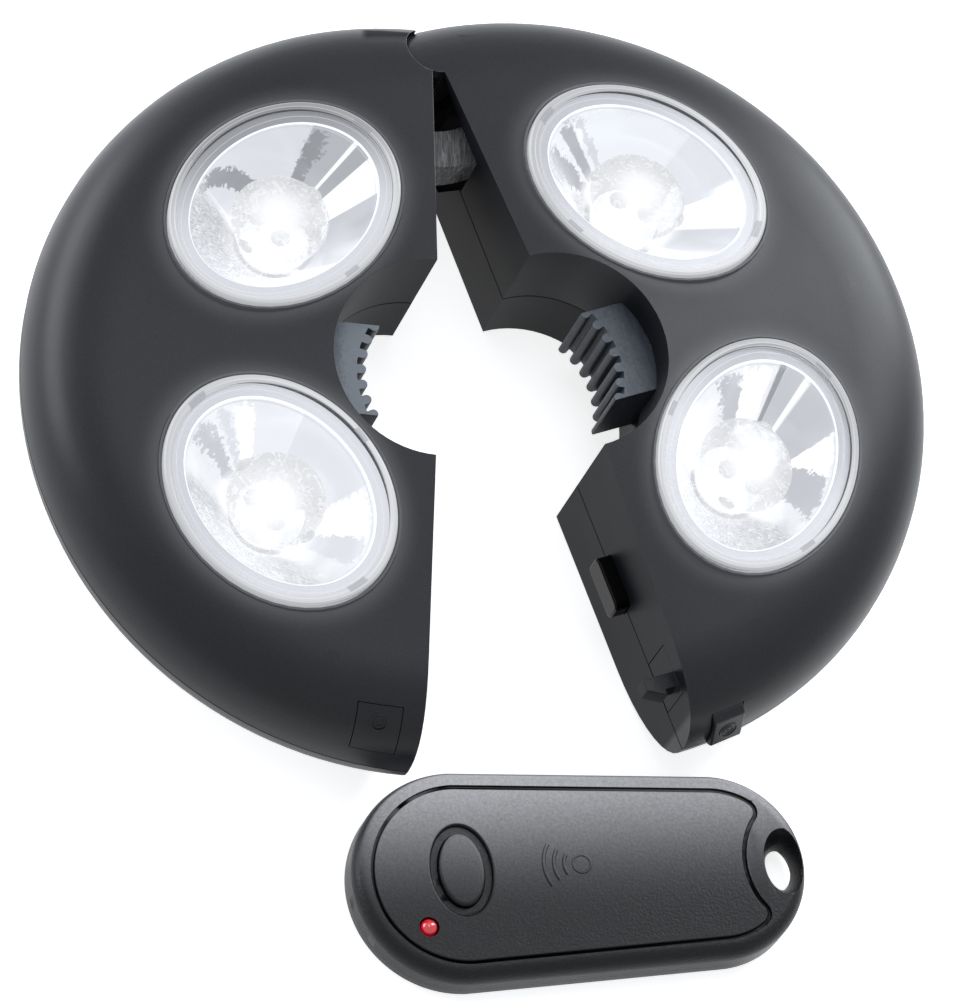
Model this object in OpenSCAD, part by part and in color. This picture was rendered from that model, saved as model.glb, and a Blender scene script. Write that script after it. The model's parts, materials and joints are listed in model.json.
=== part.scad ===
// Patio umbrella light: two hinged half rings that clamp round the parasol pole,
// with four oval lamps, sprung rubber jaws, and the pocket remote that comes with it.
// The lamp lies on its back with its lamps facing up (+Z) and its hinge towards +Y.
// The origin is the centre of the pole hole on the back face. Units are millimetres.

/* [Lamp body] */
// Radius of the closed lamp at its widest line
lamp_r = 100; // [97:0.5:106]
// Thickness of the lamp beside the pole hole
lamp_t = 48.5; // [46:0.5:54]
// Height of the line where front and back covers meet, which is also the widest line
seam_z = 21; // [19:0.5:22]
// Wall thickness of the covers
wall = 2.4; // [2:0.1:2.8]
// Radius of the pole hole
bore_r = 26.4; // [25:0.2:27]
// Slope of the front face, down and away from the pole hole, in degrees
face_slope = 6.9; // [5:0.1:8]
// Width of the rolled edge at the front, measured along the radius
dome_w = 22; // [19:0.5:24]
// Width of the rolled edge at the back, measured along the radius
back_w = 30; // [26:0.5:32]
// Gap between the two halves when they are shut
split_gap = 0.3; // [0.2:0.05:0.6]

/* [Hinge and opening] */
// How far the lamp stands open in the rest position, in degrees
open_angle = 21.5; // [10:0.5:24]
// Further opening past the rest position, in degrees
open_extra = 8.5; // [4:0.5:10]
// Distance from the hinge axis to the rim
hinge_inset = 10.2; // [9.6:0.1:11]
// Distance of the hinge axis from the split line, on the right half's side
hinge_side = 2; // [0:0.2:3]
// Radius of the round nose that turns in the other half's cut
nose_r = 8; // [7:0.1:8.6]
// Radius of the hinge pin
pin_r = 2.5; // [2:0.1:3]
// Running clearance of the pin in the right half, on the radius
pin_clear = 0.06; // [0.03:0.01:0.1]
// Gap round the nose, and between the two noses
nose_gap = 0.25; // [0.2:0.05:0.4]

/* [Lamps] */
// Half the length of each oval lens, across the radius
lens_long = 32.7; // [30:0.1:33]
// Half the width of each oval lens, along the radius
lens_short = 26.4; // [24:0.1:27]
// Land between the pole hole and the nearest lens edge
lens_land = 1.9; // [1.6:0.1:3]
// Angle of each lamp from the split's square line, in degrees
lens_angle = 45; // [44:0.5:46]
// How far a lens stands up from the front face
lens_proud = 1.6; // [1.2:0.1:2]
// Depth of the step in the cover that holds the lens
lens_step = 1.4; // [1.2:0.1:1.6]
// Thickness of a lens
lens_wall = 1.5; // [1.2:0.1:1.7]
// Width of the black seal round each lens
seal_w = 0.7; // [0.5:0.1:0.8]
// Width of the pale flange between the lens edge and the bright ring
flange_w = 5.4; // [4.6:0.1:6]
// Depth from the face to the foot of the reflector bowl
bowl_depth = 20; // [17:0.5:21]
// Radius of the reflector bowl at its foot
bowl_foot_r = 9; // [8.5:0.1:10]
// Wall thickness of the reflector
bowl_wall = 1; // [0.8:0.1:1.4]
// Thickness of the light board behind each bowl
board_t = 1.6; // [1.2:0.1:2]
// Radius of each light-emitting dome
led_r = 2.3; // [2:0.1:2.5]
// Light domes in the ring round the middle one
led_ring = 4; // [3:1:5]

/* [Pole jaws] */
// Width of a rubber jaw
jaw_w = 24.6; // [23:0.2:25.4]
// Height of a rubber jaw, along the pole
jaw_h = 23; // [20:0.5:24]
// Distance from the pole's axis to the tip of the middle rib
jaw_reach = 15.3; // [14:0.1:17]
// Height of the jaw's middle above the back face
jaw_z = 25; // [24:0.5:26]
// Radius of the curve on which the rib tips lie
rib_curve = 22; // [19:0.5:26]
// Ribs on each jaw
ribs = 7; // [5:1:7]
// Angle from one rib to the next, in degrees
rib_step = 10.2; // [9.4:0.1:10.4]
// Width of a rib
rib_w = 2.5; // [2:0.1:2.7]
// Length of a rib beyond the jaw's body
rib_len = 2.4; // [1.8:0.1:2.8]
// How far a jaw can be pushed back
jaw_travel = 7; // [5:0.5:7]
// Clearance round the jaw in its window
jaw_clear = 0.4; // [0.3:0.05:0.6]
// Radius of the jaw spring, to the middle of its wire
spring_r = 4.2; // [3.8:0.1:4.6]
// Diameter of the spring wire
spring_wire = 1; // [0.8:0.1:1.1]
// Curls in the jaw spring
spring_curls = 5; // [4:1:6]

/* [Latch and buttons] */
// Length of the rubber locating peg, along the split
peg_len = 14.5; // [12:0.5:16]
// Height of the locating peg
peg_h = 8; // [6:0.5:9]
// How far the locating peg stands out
peg_out = 3.8; // [3:0.1:4.6]
// Distance of the peg's middle from the pole's axis
peg_y = 54.2; // [52:0.2:56]
// Distance of the latch plate's middle from the pole's axis
latch_y = 83.2; // [82:0.2:83.6]
// Width of the latch plate, along the split
latch_w = 13.3; // [12:0.1:13.6]
// Height of the latch plate above the seam
latch_h = 14; // [13:0.1:14.4]
// How far the latch tongue stands out
tongue_out = 8; // [6:0.2:9]
// Width of the release tab
tab_w = 11.5; // [10:0.1:12]
// Distance of the release tab's near side from the split line
tab_x = 5.5; // [5:0.1:7]
// Height of the release tab's foot above the seam
tab_foot = 7.3; // [6.5:0.1:8]
// Length of the release tab from its foot to its free edge
tab_len = 11.4; // [10.5:0.1:11.8]
// Angle that the release tab can be pressed, in degrees
tab_press = 4; // [2:0.5:5]
// Width of the power button
button_w = 9; // [8:0.1:10]
// Height of the power button above the seam
button_h = 11.8; // [10:0.1:12]
// How far the power button stands out of the rim
button_out = 1.8; // [1.2:0.1:2.4]
// Travel of the power button
button_travel = 1.2; // [0.8:0.1:1.4]
// Direction of the power button, in degrees from straight below the pole
button_angle = 6.4; // [5:0.2:8]

/* [Batteries and screws] */
// Diameter of a battery cell
cell_d = 14.2; // [13.6:0.1:14.4]
// Length of a battery cell
cell_len = 50.5; // [49:0.1:51]
// Distance of the screws from the pole's axis
screw_rho = 85; // [83.5:0.5:86]
// Radius of the screw shanks
screw_r = 1.45; // [1.2:0.05:1.6]
// Radius of the screw posts
post_r = 3.6; // [3.2:0.1:3.8]

/* [Remote] */
// Radius of the remote's wide end
remote_r1 = 27.6; // [26:0.2:28]
// Radius of the remote's narrow end, at the key ring
remote_r2 = 24.2; // [22:0.2:25]
// Distance between the middles of the two round ends
remote_span = 65; // [62:0.5:67]
// Thickness of the remote
remote_t = 12.5; // [12:0.1:13.5]
// Height of the remote's seam
remote_seam = 4.6; // [4:0.1:5]
// Wall thickness of the remote's shells
remote_wall = 1.6; // [1.4:0.1:1.8]
// Width of the sloping rim round the face plate
rim_w = 4.2; // [3.6:0.1:4.6]
// Width of the groove round the face plate
groove_w = 0.9; // [0.6:0.1:1.2]
// Half length of the remote's oval button, across the remote
key_long = 9.5; // [8.5:0.1:10]
// Half width of the remote's oval button
key_short = 5.9; // [5.2:0.1:6.4]
// Travel of the remote's button
key_travel = 0.8; // [0.5:0.1:1]
// Radius of the remote's coin cell
coin_r = 10; // [9:0.5:10.5]
// Distance of the remote's middle from the pole's axis, to the right
remote_x = 46.5; // [46:0.2:60]
// Distance of the remote's middle from the pole's axis, towards the front
remote_y = 118.2; // [118:0.2:140]
// Turn of the remote, in degrees
remote_turn = 7.6; // [0:0.2:9]

/* [Hidden] */

$fn = 96;
far = 4 * lamp_r;           // larger than the lamp in every direction
fit = 0.15;                 // gap of a fixed piece in its seat, on each side
slip = 0.2;                 // gap of a moving button in its slot, on each side
skin = 0.01;                // overlap that keeps joined shapes one solid

// Colours
charcoal = [0.27, 0.27, 0.29];
soft_black = [0.12, 0.12, 0.13];
jaw_grey = [0.33, 0.36, 0.40];
clear = [0.85, 0.9, 0.95, 0.4];
mirror_grey = [0.85, 0.86, 0.88];
steel = [0.7, 0.7, 0.72];
board_green = [0.1, 0.35, 0.2];
lamp_white = [0.97, 0.97, 0.92];
red = [0.8, 0.1, 0.12];

// Outline of the body. Every profile is a list of [radius, height].
dome_steps = 12;
back_steps = 10;
dome_start = lamp_r - dome_w;
dome_pull = 0.64 * dome_w;
dome_drop = 13.5;
function face_z(r) = lamp_t - (r - bore_r) * tan(face_slope);
function bez(t, p) = pow(1 - t, 3) * p[0] + 3 * t * pow(1 - t, 2) * p[1]
    + 3 * t * t * (1 - t) * p[2] + pow(t, 3) * p[3];
function bez_run(t, p) = pow(1 - t, 2) * (p[1] - p[0]) + 2 * t * (1 - t) * (p[2] - p[1])
    + t * t * (p[3] - p[2]);
function out_of(run) = [-run[1], run[0]] / norm(run);
dome = [[dome_start, face_z(dome_start)], [dome_start + dome_pull, face_z(dome_start + dome_pull)],
    [lamp_r, seam_z + dome_drop], [lamp_r, seam_z]];
function dome_line(in) = [for (i = [0:dome_steps])
    let (t = i / dome_steps) bez(t, dome) - in * out_of(bez_run(t, dome))];
function back_point(a) = [lamp_r - back_w + back_w * sin(a), seam_z - seam_z * cos(a)];
function back_line(in) = [for (i = [0:back_steps])
    let (a = 90 * i / back_steps, n = [seam_z * sin(a), -back_w * cos(a)])
    back_point(a) - in * n / norm(n)];
function back_z(r) = seam_z - seam_z * sqrt(1 - pow(max(0, r - lamp_r + back_w) / back_w, 2));
in_r = bore_r + wall;
front_profile = concat([[bore_r, seam_z], [bore_r, lamp_t]], dome_line(0));
front_hollow = concat([[in_r, seam_z - 1], [in_r, face_z(in_r) - wall / cos(face_slope)]],
    dome_line(wall), [[lamp_r - wall, seam_z - 1]]);
back_profile = concat([[bore_r, seam_z], [bore_r, 0]], back_line(0));
back_hollow = concat([[in_r, seam_z + 1], [in_r, wall]], back_line(wall),
    [[lamp_r - wall, seam_z + 1]]);
split_x = split_gap / 2;    // split face of a half, measured in its own shut position
split_in = split_x + wall;  // inner side of the split wall

// Hinge
pivot = [hinge_side, lamp_r - hinge_inset, 0];
open_max = open_angle + open_extra;
cut_r = nose_r + nose_gap;
relief_angle = open_max + 2;
pin_rho = norm([pivot[0], pivot[1]]) + pin_r;
pin_low = back_z(pin_rho) + 1.4;
pin_top = lookup(pin_rho, dome_line(0)) - 1.4;
bridge_r = [nose_r + 10.5, nose_r + 20.6];  // inner and outer radius of the cable bridge
bridge_z = [16.7, 28.5];
bridge_end = open_max + 6;
bridge_root = 32;

// Lamps, in the lamp's own frame: X along the radius, Y across it, Z out of the face
lens_rho = bore_r + lens_land + lens_short;
lens_sides = 48;
lens_ring = seal_w + flange_w;
bright = [lens_short - lens_ring, lens_long - lens_ring];  // bright ring of the reflector
ledge = seal_w + 2.4;       // from the lens edge to the hole in the cover
pocket = seal_w + 1.5;      // from the lens edge to the hollow under the lens
bright_drop = 3;
bowl_rings = 5;
led_rho = 2.4 * led_r;
led_h = 1.5;

// Jaws, in the right half's frame: X away from the pole
jaw_back = in_r - 2.3;
jaw_window = [jaw_w / 2 + jaw_clear, jaw_h / 2 + jaw_clear];
slide_flange = in_r + 0.3;
slide_t = 2;
slide_lip = 2;
spring_start = slide_flange + slide_t;
spring_len = 13.9;
seat_x = spring_start + spring_len;
seat_t = 2;
seat_top = jaw_z + 7;

// Batteries
cell_r = cell_d / 2;
cell_x = [seat_x + seat_t + 0.7 + cell_r, seat_x + seat_t + 1.1 + 3 * cell_r];
cell_floor = max([for (u = [0:0.25:1]) back_z(norm([cell_x[1] + u * cell_r, cell_len / 2]))
    + cell_r * sqrt(1 - u * u)]);
cell_z = cell_floor + wall + 0.18;
contact_t = 0.6;
contact_gap = 0.15;
rib_y = cell_len / 2 + contact_gap + contact_t;
rib_t = 2;
door = [seat_x + seat_t + 0.25, cell_x[1] + cell_r + 0.6, rib_y - 0.35];

// Corner of the control board, on the +X side
works = [split_in + 3.45, 25 - lamp_r, 9];

// Screws
screw_angles = [0, 73.7, -73.7];
head_r = 2.8;
head_h = 1.8;
head_z = 5.6;
screw_len = 22;

// Latch, peg and buttons
tongue = [latch_y - 0.4 + 0.8, latch_y + 4.4, 28.5, 34.5];  // near y, far y, low z, high z
barb = 1.5;
barb_x = split_gap + wall + 0.6;
tab_z = seam_z + tab_foot;
tab_pivot = [-(lamp_r - 5), tab_z + fit];
button_rho = lamp_r + button_out;
button_in = lamp_r - 6.8;
plunger_end = button_in - button_travel - 0.5;

// Remote
remote_c1 = -(remote_span + remote_r2 - remote_r1) / 2;
remote_c2 = remote_c1 + remote_span;
rim_z = remote_t - 4;
plate_z = remote_t - 1.6;
notch_r = 19.7;
notch_x = remote_c2 + 27.3;
ring_x = remote_c2 + 18.4;
ring_hole = [3.3, 5.2];
ring_dish = [4.8, 8];
key_x = remote_c1;
key_y = 1.2;
lamp_spot = [remote_c1 - 10.2, -13.2];
lamp_spot_r = 2.4;
coin_x = 12;
coin_h = 3.2;
cover_t = 1.4;
sign_x = 0;
sign_y = 1.5;

// ---- Shared shapes ----

module left_half() mirror([1, 0, 0]) children();
module right_half() translate(pivot) rotate([0, 0, open_angle]) translate(-pivot) children();
module side_of(x) translate([x, -far / 2, -far / 2]) cube(far);
module spun(profile) rotate_extrude() polygon(profile);
module oval(a, b, h) linear_extrude(h)
    polygon([for (i = [0:lens_sides - 1]) let (t = 360 * i / lens_sides) [a * cos(t), b * sin(t)]]);
module box_between(a, b) translate(a) cube(b - a);
module rounded_bar(size, r, h) linear_extrude(h)
    polygon([for (q = [0:3], i = [0:4])
        let (a = 90 * q + 22.5 * i, sx = q == 0 || q == 3 ? 1 : -1, sy = q < 2 ? 1 : -1)
        [sx * (size[0] / 2 - r) + r * cos(a), sy * (size[1] / 2 - r) + r * sin(a)]]);

// Puts a lamp piece in place: up is 1 for the lamp beside the hinge, -1 for the other
module at_lamp(up) rotate([0, 0, up * lens_angle])
    translate([lens_rho, 0, face_z(lens_rho)]) rotate([0, face_slope, 0]) children();

// Pie slice round the hinge axis, between two angles from the +Y direction towards +X
module pie(px, a0, a1, r) translate([px, pivot[1], -far / 2])
    linear_extrude(far) polygon(concat([[0, 0]],
        [for (i = [0:4]) let (a = a0 + (a1 - a0) * i / 4) [r * sin(a), r * cos(a)]]));

// ---- Covers, drawn shut on the +X side; side is 1 for the right half, -1 for the left ----

module lamp_seats() for (up = [-1, 1]) at_lamp(up) {
    translate([0, 0, -lens_step]) oval(lens_short + seal_w, lens_long + seal_w, far / 10);
    translate([0, 0, -far / 20]) oval(lens_short - ledge, lens_long - ledge, far / 10);
}

module jaw_cut() box_between([bore_r - 7, -jaw_window[0], jaw_z - jaw_window[1]],
    [in_r + 1, jaw_window[0], jaw_z + jaw_window[1]]);

// Rounded bar across the split, from x0 to x1
module peg_shape(grow, x0, x1) translate([x1, -peg_y, seam_z]) rotate([0, -90, 0])
    rounded_bar([peg_h + 2 * grow, peg_len + 2 * grow], 2 + grow, x1 - x0);

module peg_cut(grow) peg_shape(grow, -1, split_in + skin);

module screw_posts(z0, z1) for (a = screw_angles) rotate([0, 0, a])
    translate([screw_rho, 0, z0]) cylinder(r = post_r, h = z1 - z0);

module screw_holes(r, z0, z1) for (a = screw_angles) rotate([0, 0, a])
    translate([screw_rho, 0, z0]) cylinder(r = r, h = z1 - z0, $fn = 32);

// Nose of one half, turned solid round the hinge axis
module nose(profile, px, z0, z1) intersection() {
    spun(profile);
    translate([px, pivot[1], z0]) cylinder(r = nose_r, h = z1 - z0);
}

// Wall that closes the hollow round the other half's nose
module nose_wall(profile, px) intersection() {
    spun(profile);
    side_of(split_x);
    translate([px, pivot[1], 0]) cylinder(r = cut_r + wall, h = lamp_t);
}

module nose_cut(px, z0, z1) translate([px, pivot[1], z0]) cylinder(r = cut_r, h = z1 - z0);

// Room for the corner of the right half as it swings past the left one
module swing_relief(px) difference() {
    pie(px, -4, relief_angle, 20);
    translate([px, pivot[1], -far / 2]) cylinder(r = nose_r, h = far);
}

// The right half's corner outside the nose is cut back square to the rim
module corner_trim(px) difference() {
    box_between([split_x - 1, pivot[1], -1], [px, far, far]);
    translate([px, pivot[1], -2]) cylinder(r = nose_r, h = far + 4);
}

module half_shell(profile, hollow) difference() {
    intersection() { spun(profile); side_of(split_x); }
    intersection() { spun(hollow); side_of(split_in); }
}

// Opening in the split wall beside the hinge, where the cable bridge passes
module bridge_cut(side, z0, z1) {
    y0 = pivot[1] - bridge_r[1] - (side > 0 ? 4.2 : 0.6);
    y1 = pivot[1] - (side > 0 ? cut_r + 0.3 : bridge_r[0] - 1);
    box_between([-1, y0, z0], [split_in + skin, y1, z1]);
}

// The recess runs down into the back cover with a slanted end
module recess_cut() {
    y0 = pivot[1] - bridge_r[1] - 3.6;
    y1 = pivot[1] - cut_r - 0.3;
    translate([-1, 0, 0]) rotate([90, 0, 90]) linear_extrude(split_in + 1 + skin) polygon([
        [y0, seam_z + 1], [y0, seam_z], [y0 + 6, 6.5], [y1, 6.5], [y1, seam_z + 1]]);
}

module front_cover(side) {
    px = side * pivot[0];
    difference() {
        union() {
            half_shell(front_profile, front_hollow);
            intersection() {
                spun(front_profile);
                screw_posts(seam_z, lamp_t);
            }
            if (side > 0) nose(front_profile, px, seam_z + nose_gap, lamp_t);
            else nose_wall(front_profile, px);
        }
        lamp_seats();
        jaw_cut();
        peg_cut(side > 0 ? fit : 0.5);
        screw_holes(screw_r + 0.03, seam_z - 1, screw_len + head_z + 1);
        if (side > 0) {
            translate([px, pivot[1], 0]) cylinder(r = pin_r + pin_clear, h = pin_top + 0.4);
            corner_trim(px);
            bridge_cut(side, seam_z - 1, face_z(dome_start) - wall - 1.5);
            latch_window();
            button_slot();
        } else {
            nose_cut(px, seam_z - 1, lamp_t + 1);
            swing_relief(px);
            bridge_cut(side, seam_z - 1, bridge_z[1] + 0.7);
            tongue_window();
            tab_cut(0);
        }
    }
}

module back_cover(side) {
    px = side * pivot[0];
    difference() {
        union() {
            half_shell(back_profile, back_hollow);
            intersection() { spun(back_profile); screw_posts(0, seam_z); }
            if (side > 0) nose_wall(back_profile, px);
            else nose(back_profile, px, 0, seam_z - nose_gap);
            spring_seat();
            battery_ribs();
            if (side > 0) switch_rib();
            else { board_posts(); bridge_post(); }
        }
        jaw_cut();
        peg_cut(side > 0 ? fit : 0.5);
        screw_holes(screw_r + 0.1, -1, seam_z + 1);
        screw_holes(head_r + 0.2, -1, head_z);
        door_cut(fit);
        if (side > 0) {
            nose_cut(px, -1, seam_z + 1);
            corner_trim(px);
            recess_cut();
        } else {
            translate([px, pivot[1], pin_low]) cylinder(r = pin_r + 0.02, h = lamp_t);
            swing_relief(px);
            bridge_cut(side, bridge_z[0] - 0.7, seam_z + 1);
        }
    }
}

module spring_seat() box_between([seat_x, -spring_r - 4.5, wall - skin],
    [seat_x + seat_t, spring_r + 4.5, seat_top]);

module battery_ribs() for (s = [-1, 1]) box_between(
    [cell_x[0] - cell_r, s > 0 ? rib_y : -rib_y - rib_t, wall - skin],
    [cell_x[1] + cell_r, s > 0 ? rib_y + rib_t : -rib_y, cell_z + cell_r]);

module board_posts() for (p = [[4, 19], [18, 4]])
    translate([works[0] + p[0], works[1] + p[1], wall - skin])
        cylinder(r = 2.5, h = works[2] - wall + skin, $fn = 32);

module bridge_post() {
    mid = (bridge_r[0] + bridge_r[1]) / 2;
    translate([mid * sin(20) - pivot[0], pivot[1] - mid * cos(20), wall - skin])
        cylinder(r = 3.5, h = bridge_z[0] - wall + skin, $fn = 32);
}

module door_cut(grow) box_between([door[0] - grow, -door[2] - grow, -1],
    [door[1] + grow, door[2] + grow, back_z(norm([door[1], door[2]])) + 2 * wall]);

// ---- Lamps ----

module lens() difference() {
    translate([0, 0, -lens_step]) oval(lens_short, lens_long, lens_step + lens_proud);
    translate([0, 0, -lens_step - 1])
        oval(lens_short - pocket, lens_long - pocket, 1 + lens_step + lens_proud - lens_wall);
}

module seal() difference() {
    translate([0, 0, -lens_step])
        oval(lens_short + seal_w - 0.1, lens_long + seal_w - 0.1, lens_step + 0.5);
    translate([0, 0, -lens_step - 1]) oval(lens_short + 0.05, lens_long + 0.05, 4);
}

// Oval bowl that turns round towards its foot: rings of points, joined by triangles
function bowl_at(k, in) = let (t = k / bowl_rings, s = pow(1 - t, 0.75),
    a = bowl_foot_r + (bright[0] - bowl_foot_r) * s, b = bowl_foot_r + (bright[1] - bowl_foot_r) * s,
    z = -bright_drop - (bowl_depth - bright_drop) * t)
    [for (i = [0:lens_sides / 2 - 1]) let (w = 720 * i / lens_sides)
        [(a + in) * cos(w), (b + in) * sin(w), z]];

module bowl() {
    n = lens_sides / 2;
    inner = [for (k = [0:bowl_rings]) bowl_at(k, 0)];
    outer = [for (k = [bowl_rings:-1:0]) bowl_at(k, bowl_wall)];
    rings = concat(inner, outer);
    count = len(rings);
    points = [for (ring = rings, p = ring) p];
    polyhedron(points, [for (k = [0:count - 1], i = [0:n - 1], half = [0, 1])
        let (a = k * n + i, b = k * n + (i + 1) % n,
            c = ((k + 1) % count) * n + i, d = ((k + 1) % count) * n + (i + 1) % n)
        half == 0 ? [a, c, b] : [b, c, d]]);
}

module reflector() {
    bowl();
    difference() {
        translate([0, 0, -lens_step])
            oval(lens_short - pocket - fit, lens_long - pocket - fit, lens_step + lens_proud - lens_wall - fit);
        translate([0, 0, -lens_step - 1]) oval(bright[0], bright[1], 4);
    }
    difference() {
        translate([0, 0, -bright_drop - skin])
            oval(bright[0] + bowl_wall, bright[1] + bowl_wall, bright_drop - lens_step + skin * 2);
        translate([0, 0, -bright_drop - 1]) oval(bright[0], bright[1], 4);
    }
}

module board() translate([0, 0, -bowl_depth - board_t]) cylinder(r = bowl_foot_r + 2, h = board_t);

module led() {
    cylinder(r = led_r, h = led_h, $fn = 32);
    translate([0, 0, led_h]) intersection() {
        sphere(r = led_r, $fn = 32);
        translate([-led_r, -led_r, -skin]) cube(2 * led_r);
    }
}

module leds() translate([0, 0, -bowl_depth]) {
    led();
    for (i = [0:led_ring - 1]) rotate([0, 0, 360 * (i + 0.5) / led_ring])
        translate([led_rho, 0, 0]) led();
}

// ---- Hinge and cable bridge ----

module hinge_pin() color(steel) translate([pivot[0], pivot[1], pin_low])
    cylinder(r = pin_r, h = pin_top - pin_low);

module cable_bridge() color(jaw_grey) translate([pivot[0], pivot[1], bridge_z[0]])
    rotate([0, 0, -90 - bridge_root]) rotate_extrude(angle = bridge_root + bridge_end)
        translate([bridge_r[0], 0]) square([bridge_r[1] - bridge_r[0], bridge_z[1] - bridge_z[0]]);

// ---- Jaws, springs and slides ----

module jaw() {
    mid = jaw_reach - rib_curve;
    translate([0, 0, jaw_z - jaw_h / 2]) linear_extrude(jaw_h) intersection() {
        translate([0, -jaw_w / 2]) square([jaw_back, jaw_w]);
        union() {
            difference() {
                square([2 * jaw_back, 2 * jaw_w], center = true);
                translate([mid, 0]) circle(r = rib_curve + rib_len);
                translate([-far, -far / 2]) square([far, far]);
            }
            for (i = [0:ribs - 1]) translate([mid, 0]) rotate((i - (ribs - 1) / 2) * rib_step) {
                translate([rib_curve + rib_w / 2, 0]) circle(d = rib_w, $fn = 24);
                translate([rib_curve + rib_w / 2, -rib_w / 2]) square([rib_len, rib_w]);
            }
        }
    }
}

module jaw_slide() {
    box_between([jaw_back, -jaw_w / 2, jaw_z - jaw_h / 2], [slide_flange + skin, jaw_w / 2, jaw_z + jaw_h / 2]);
    box_between([slide_flange, -jaw_w / 2 - slide_lip, jaw_z - jaw_h / 2 - slide_lip],
        [spring_start, jaw_w / 2 + slide_lip, jaw_z + jaw_h / 2 + slide_lip]);
    translate([spring_start - skin, 0, jaw_z]) rotate([0, 90, 0]) difference() {
        cylinder(r = spring_r + 2, h = 2, $fn = 48);
        translate([0, 0, -1]) cylinder(r = spring_r + 0.9, h = 4, $fn = 48);
    }
    translate([spring_start - skin, 0, jaw_z]) rotate([0, 90, 0])
        cylinder(r = spring_r - spring_wire / 2 - 0.6, h = spring_len - jaw_travel - 1.5, $fn = 48);
}

// Coil spring along +X: one tube with six sides and eight rings to a curl, its ends turned
// straight out to meet the slide and the seat
spring_rings = 8 * spring_curls;
spring_end = 0.05;
spring_pitch = (spring_len - 2 * spring_wire) / spring_curls;
function spring_point(k) = let (a = 45 * k)
    [spring_wire + spring_pitch * k / 8, spring_r * cos(a), spring_r * sin(a)];
function unit(v) = v / norm(v);
function ring_round(c, run) = let (u = unit(cross(run, [0.1, c[1], c[2]])), v = cross(run, u))
    [for (i = [0:5]) c + spring_wire / 2 * (cos(60 * i) * u + sin(60 * i) * v)];
spring_line = concat(
    [[spring_end, spring_r, 0]],
    [for (k = [0:spring_rings]) spring_point(k)],
    [[spring_len - spring_end, spring_point(spring_rings)[1], spring_point(spring_rings)[2]]]);
spring_gap = min([for (k = [1:spring_rings - 7], m = [k + 6:k + 10])
    m < len(spring_line) ? norm(spring_line[m] - spring_line[k]) : far]) - spring_wire;
echo(spring_least_gap = spring_gap);

module spring() {
    last = len(spring_line) - 1;
    steps = [for (k = [1:last]) unit(spring_line[k] - spring_line[k - 1])];
    runs = [for (k = [0:last]) unit(steps[max(0, k - 1)] + steps[min(last - 1, k)])];
    points = [for (k = [0:last], p = ring_round(spring_line[k], runs[k])) p];
    translate([spring_start, 0, jaw_z]) polyhedron(points, concat(
        [for (i = [1:4]) [0, i, i + 1]],
        [for (i = [1:4]) [6 * last, 6 * last + i + 1, 6 * last + i]],
        [for (k = [0:last - 1], i = [0:5], half = [0, 1])
            let (a = 6 * k + i, b = 6 * k + (i + 1) % 6, c = a + 6, d = b + 6)
            half == 0 ? [a, c, b] : [b, c, d]]));
}

// ---- Peg, latch, release tab and power button ----

module locating_peg() color(soft_black) right_half() {
    peg_shape(0, -peg_out, split_in + skin);
    peg_shape(1.2, split_in, split_in + 1);
}

module latch_plate(grow) box_between([split_x - (grow > 0 ? 1 : 0), -latch_y - latch_w / 2 - grow, seam_z + (grow > 0 ? -1 : fit)],
    [split_in + (grow > 0 ? skin : 0), -latch_y + latch_w / 2 + grow, seam_z + latch_h + grow]);

module latch_window() latch_plate(fit);

module tongue_window() box_between([-1, -tongue[1] - barb - 0.6, tongue[2] - 0.6],
    [split_in + skin, -tongue[0] + 0.6, tongue[3] + 0.6]);

module latch_hook() color(charcoal) right_half() {
    latch_plate(0);
    box_between([split_in, -latch_y - latch_w / 2 - 0.6, seam_z - 1], [split_in + 1.5, -latch_y + latch_w / 2 + 1, seam_z + latch_h + 0.6]);
    translate([0, 0, tongue[2]]) linear_extrude(tongue[3] - tongue[2]) polygon([
        [split_x + skin, -tongue[0]], [-tongue_out, -tongue[0]], [-tongue_out, -tongue[1] + 1],
        [-barb_x, -tongue[1] - barb], [-barb_x, -tongue[1]], [split_x + skin, -tongue[1]]]);
}

// Part of the front skin inside the tab's outline; grow < 0 leaves the gap round the tab
module tab_cut(grow) intersection() {
    box_between([tab_x - grow, -far, tab_z - grow], [tab_x + tab_w + grow, -lamp_r / 2, far]);
    translate([0, tab_pivot[0], tab_pivot[1]]) rotate([0, 90, 0]) cylinder(r = tab_len + grow, h = far / 2);
}

module release_tab() color(charcoal) left_half() {
    intersection() {
        difference() { spun(front_profile); spun(front_hollow); }
        tab_cut(-slip);
    }
    box_between([tab_x + 2.5, -lamp_r + 3.6, tab_z + 1.2], [tab_x + 5.5, -latch_y - latch_w / 2 - 0.4, tab_z + 4.7]);
}

module at_button() rotate([0, 0, -90 + button_angle]) children();

module button_slot() at_button() box_between([lamp_r - 10, -button_w / 2 - slip, seam_z - 1],
    [lamp_r + 10, button_w / 2 + slip, seam_z + button_h + slip]);

module power_button() color(charcoal) right_half() at_button() {
    rotate([90, 0, 0]) translate([0, 0, -button_w / 2]) linear_extrude(button_w) polygon([
        [button_in, seam_z + fit], [button_rho - 1, seam_z + fit], [button_rho, seam_z + 1.4],
        [button_rho, seam_z + button_h - 3.6], [button_rho - 4.6, seam_z + button_h],
        [button_in, seam_z + button_h]]);
    box_between([button_in, -button_w / 2 - 1.4, seam_z - 1.5],
        [button_in + 1.2, button_w / 2 + 1.4, seam_z + button_h - 1]);
}

module switch_rib() at_button() box_between([plunger_end - 8, -4.5, 1.6], [plunger_end - 5.2, 4.5, seam_z + 4]);

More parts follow.
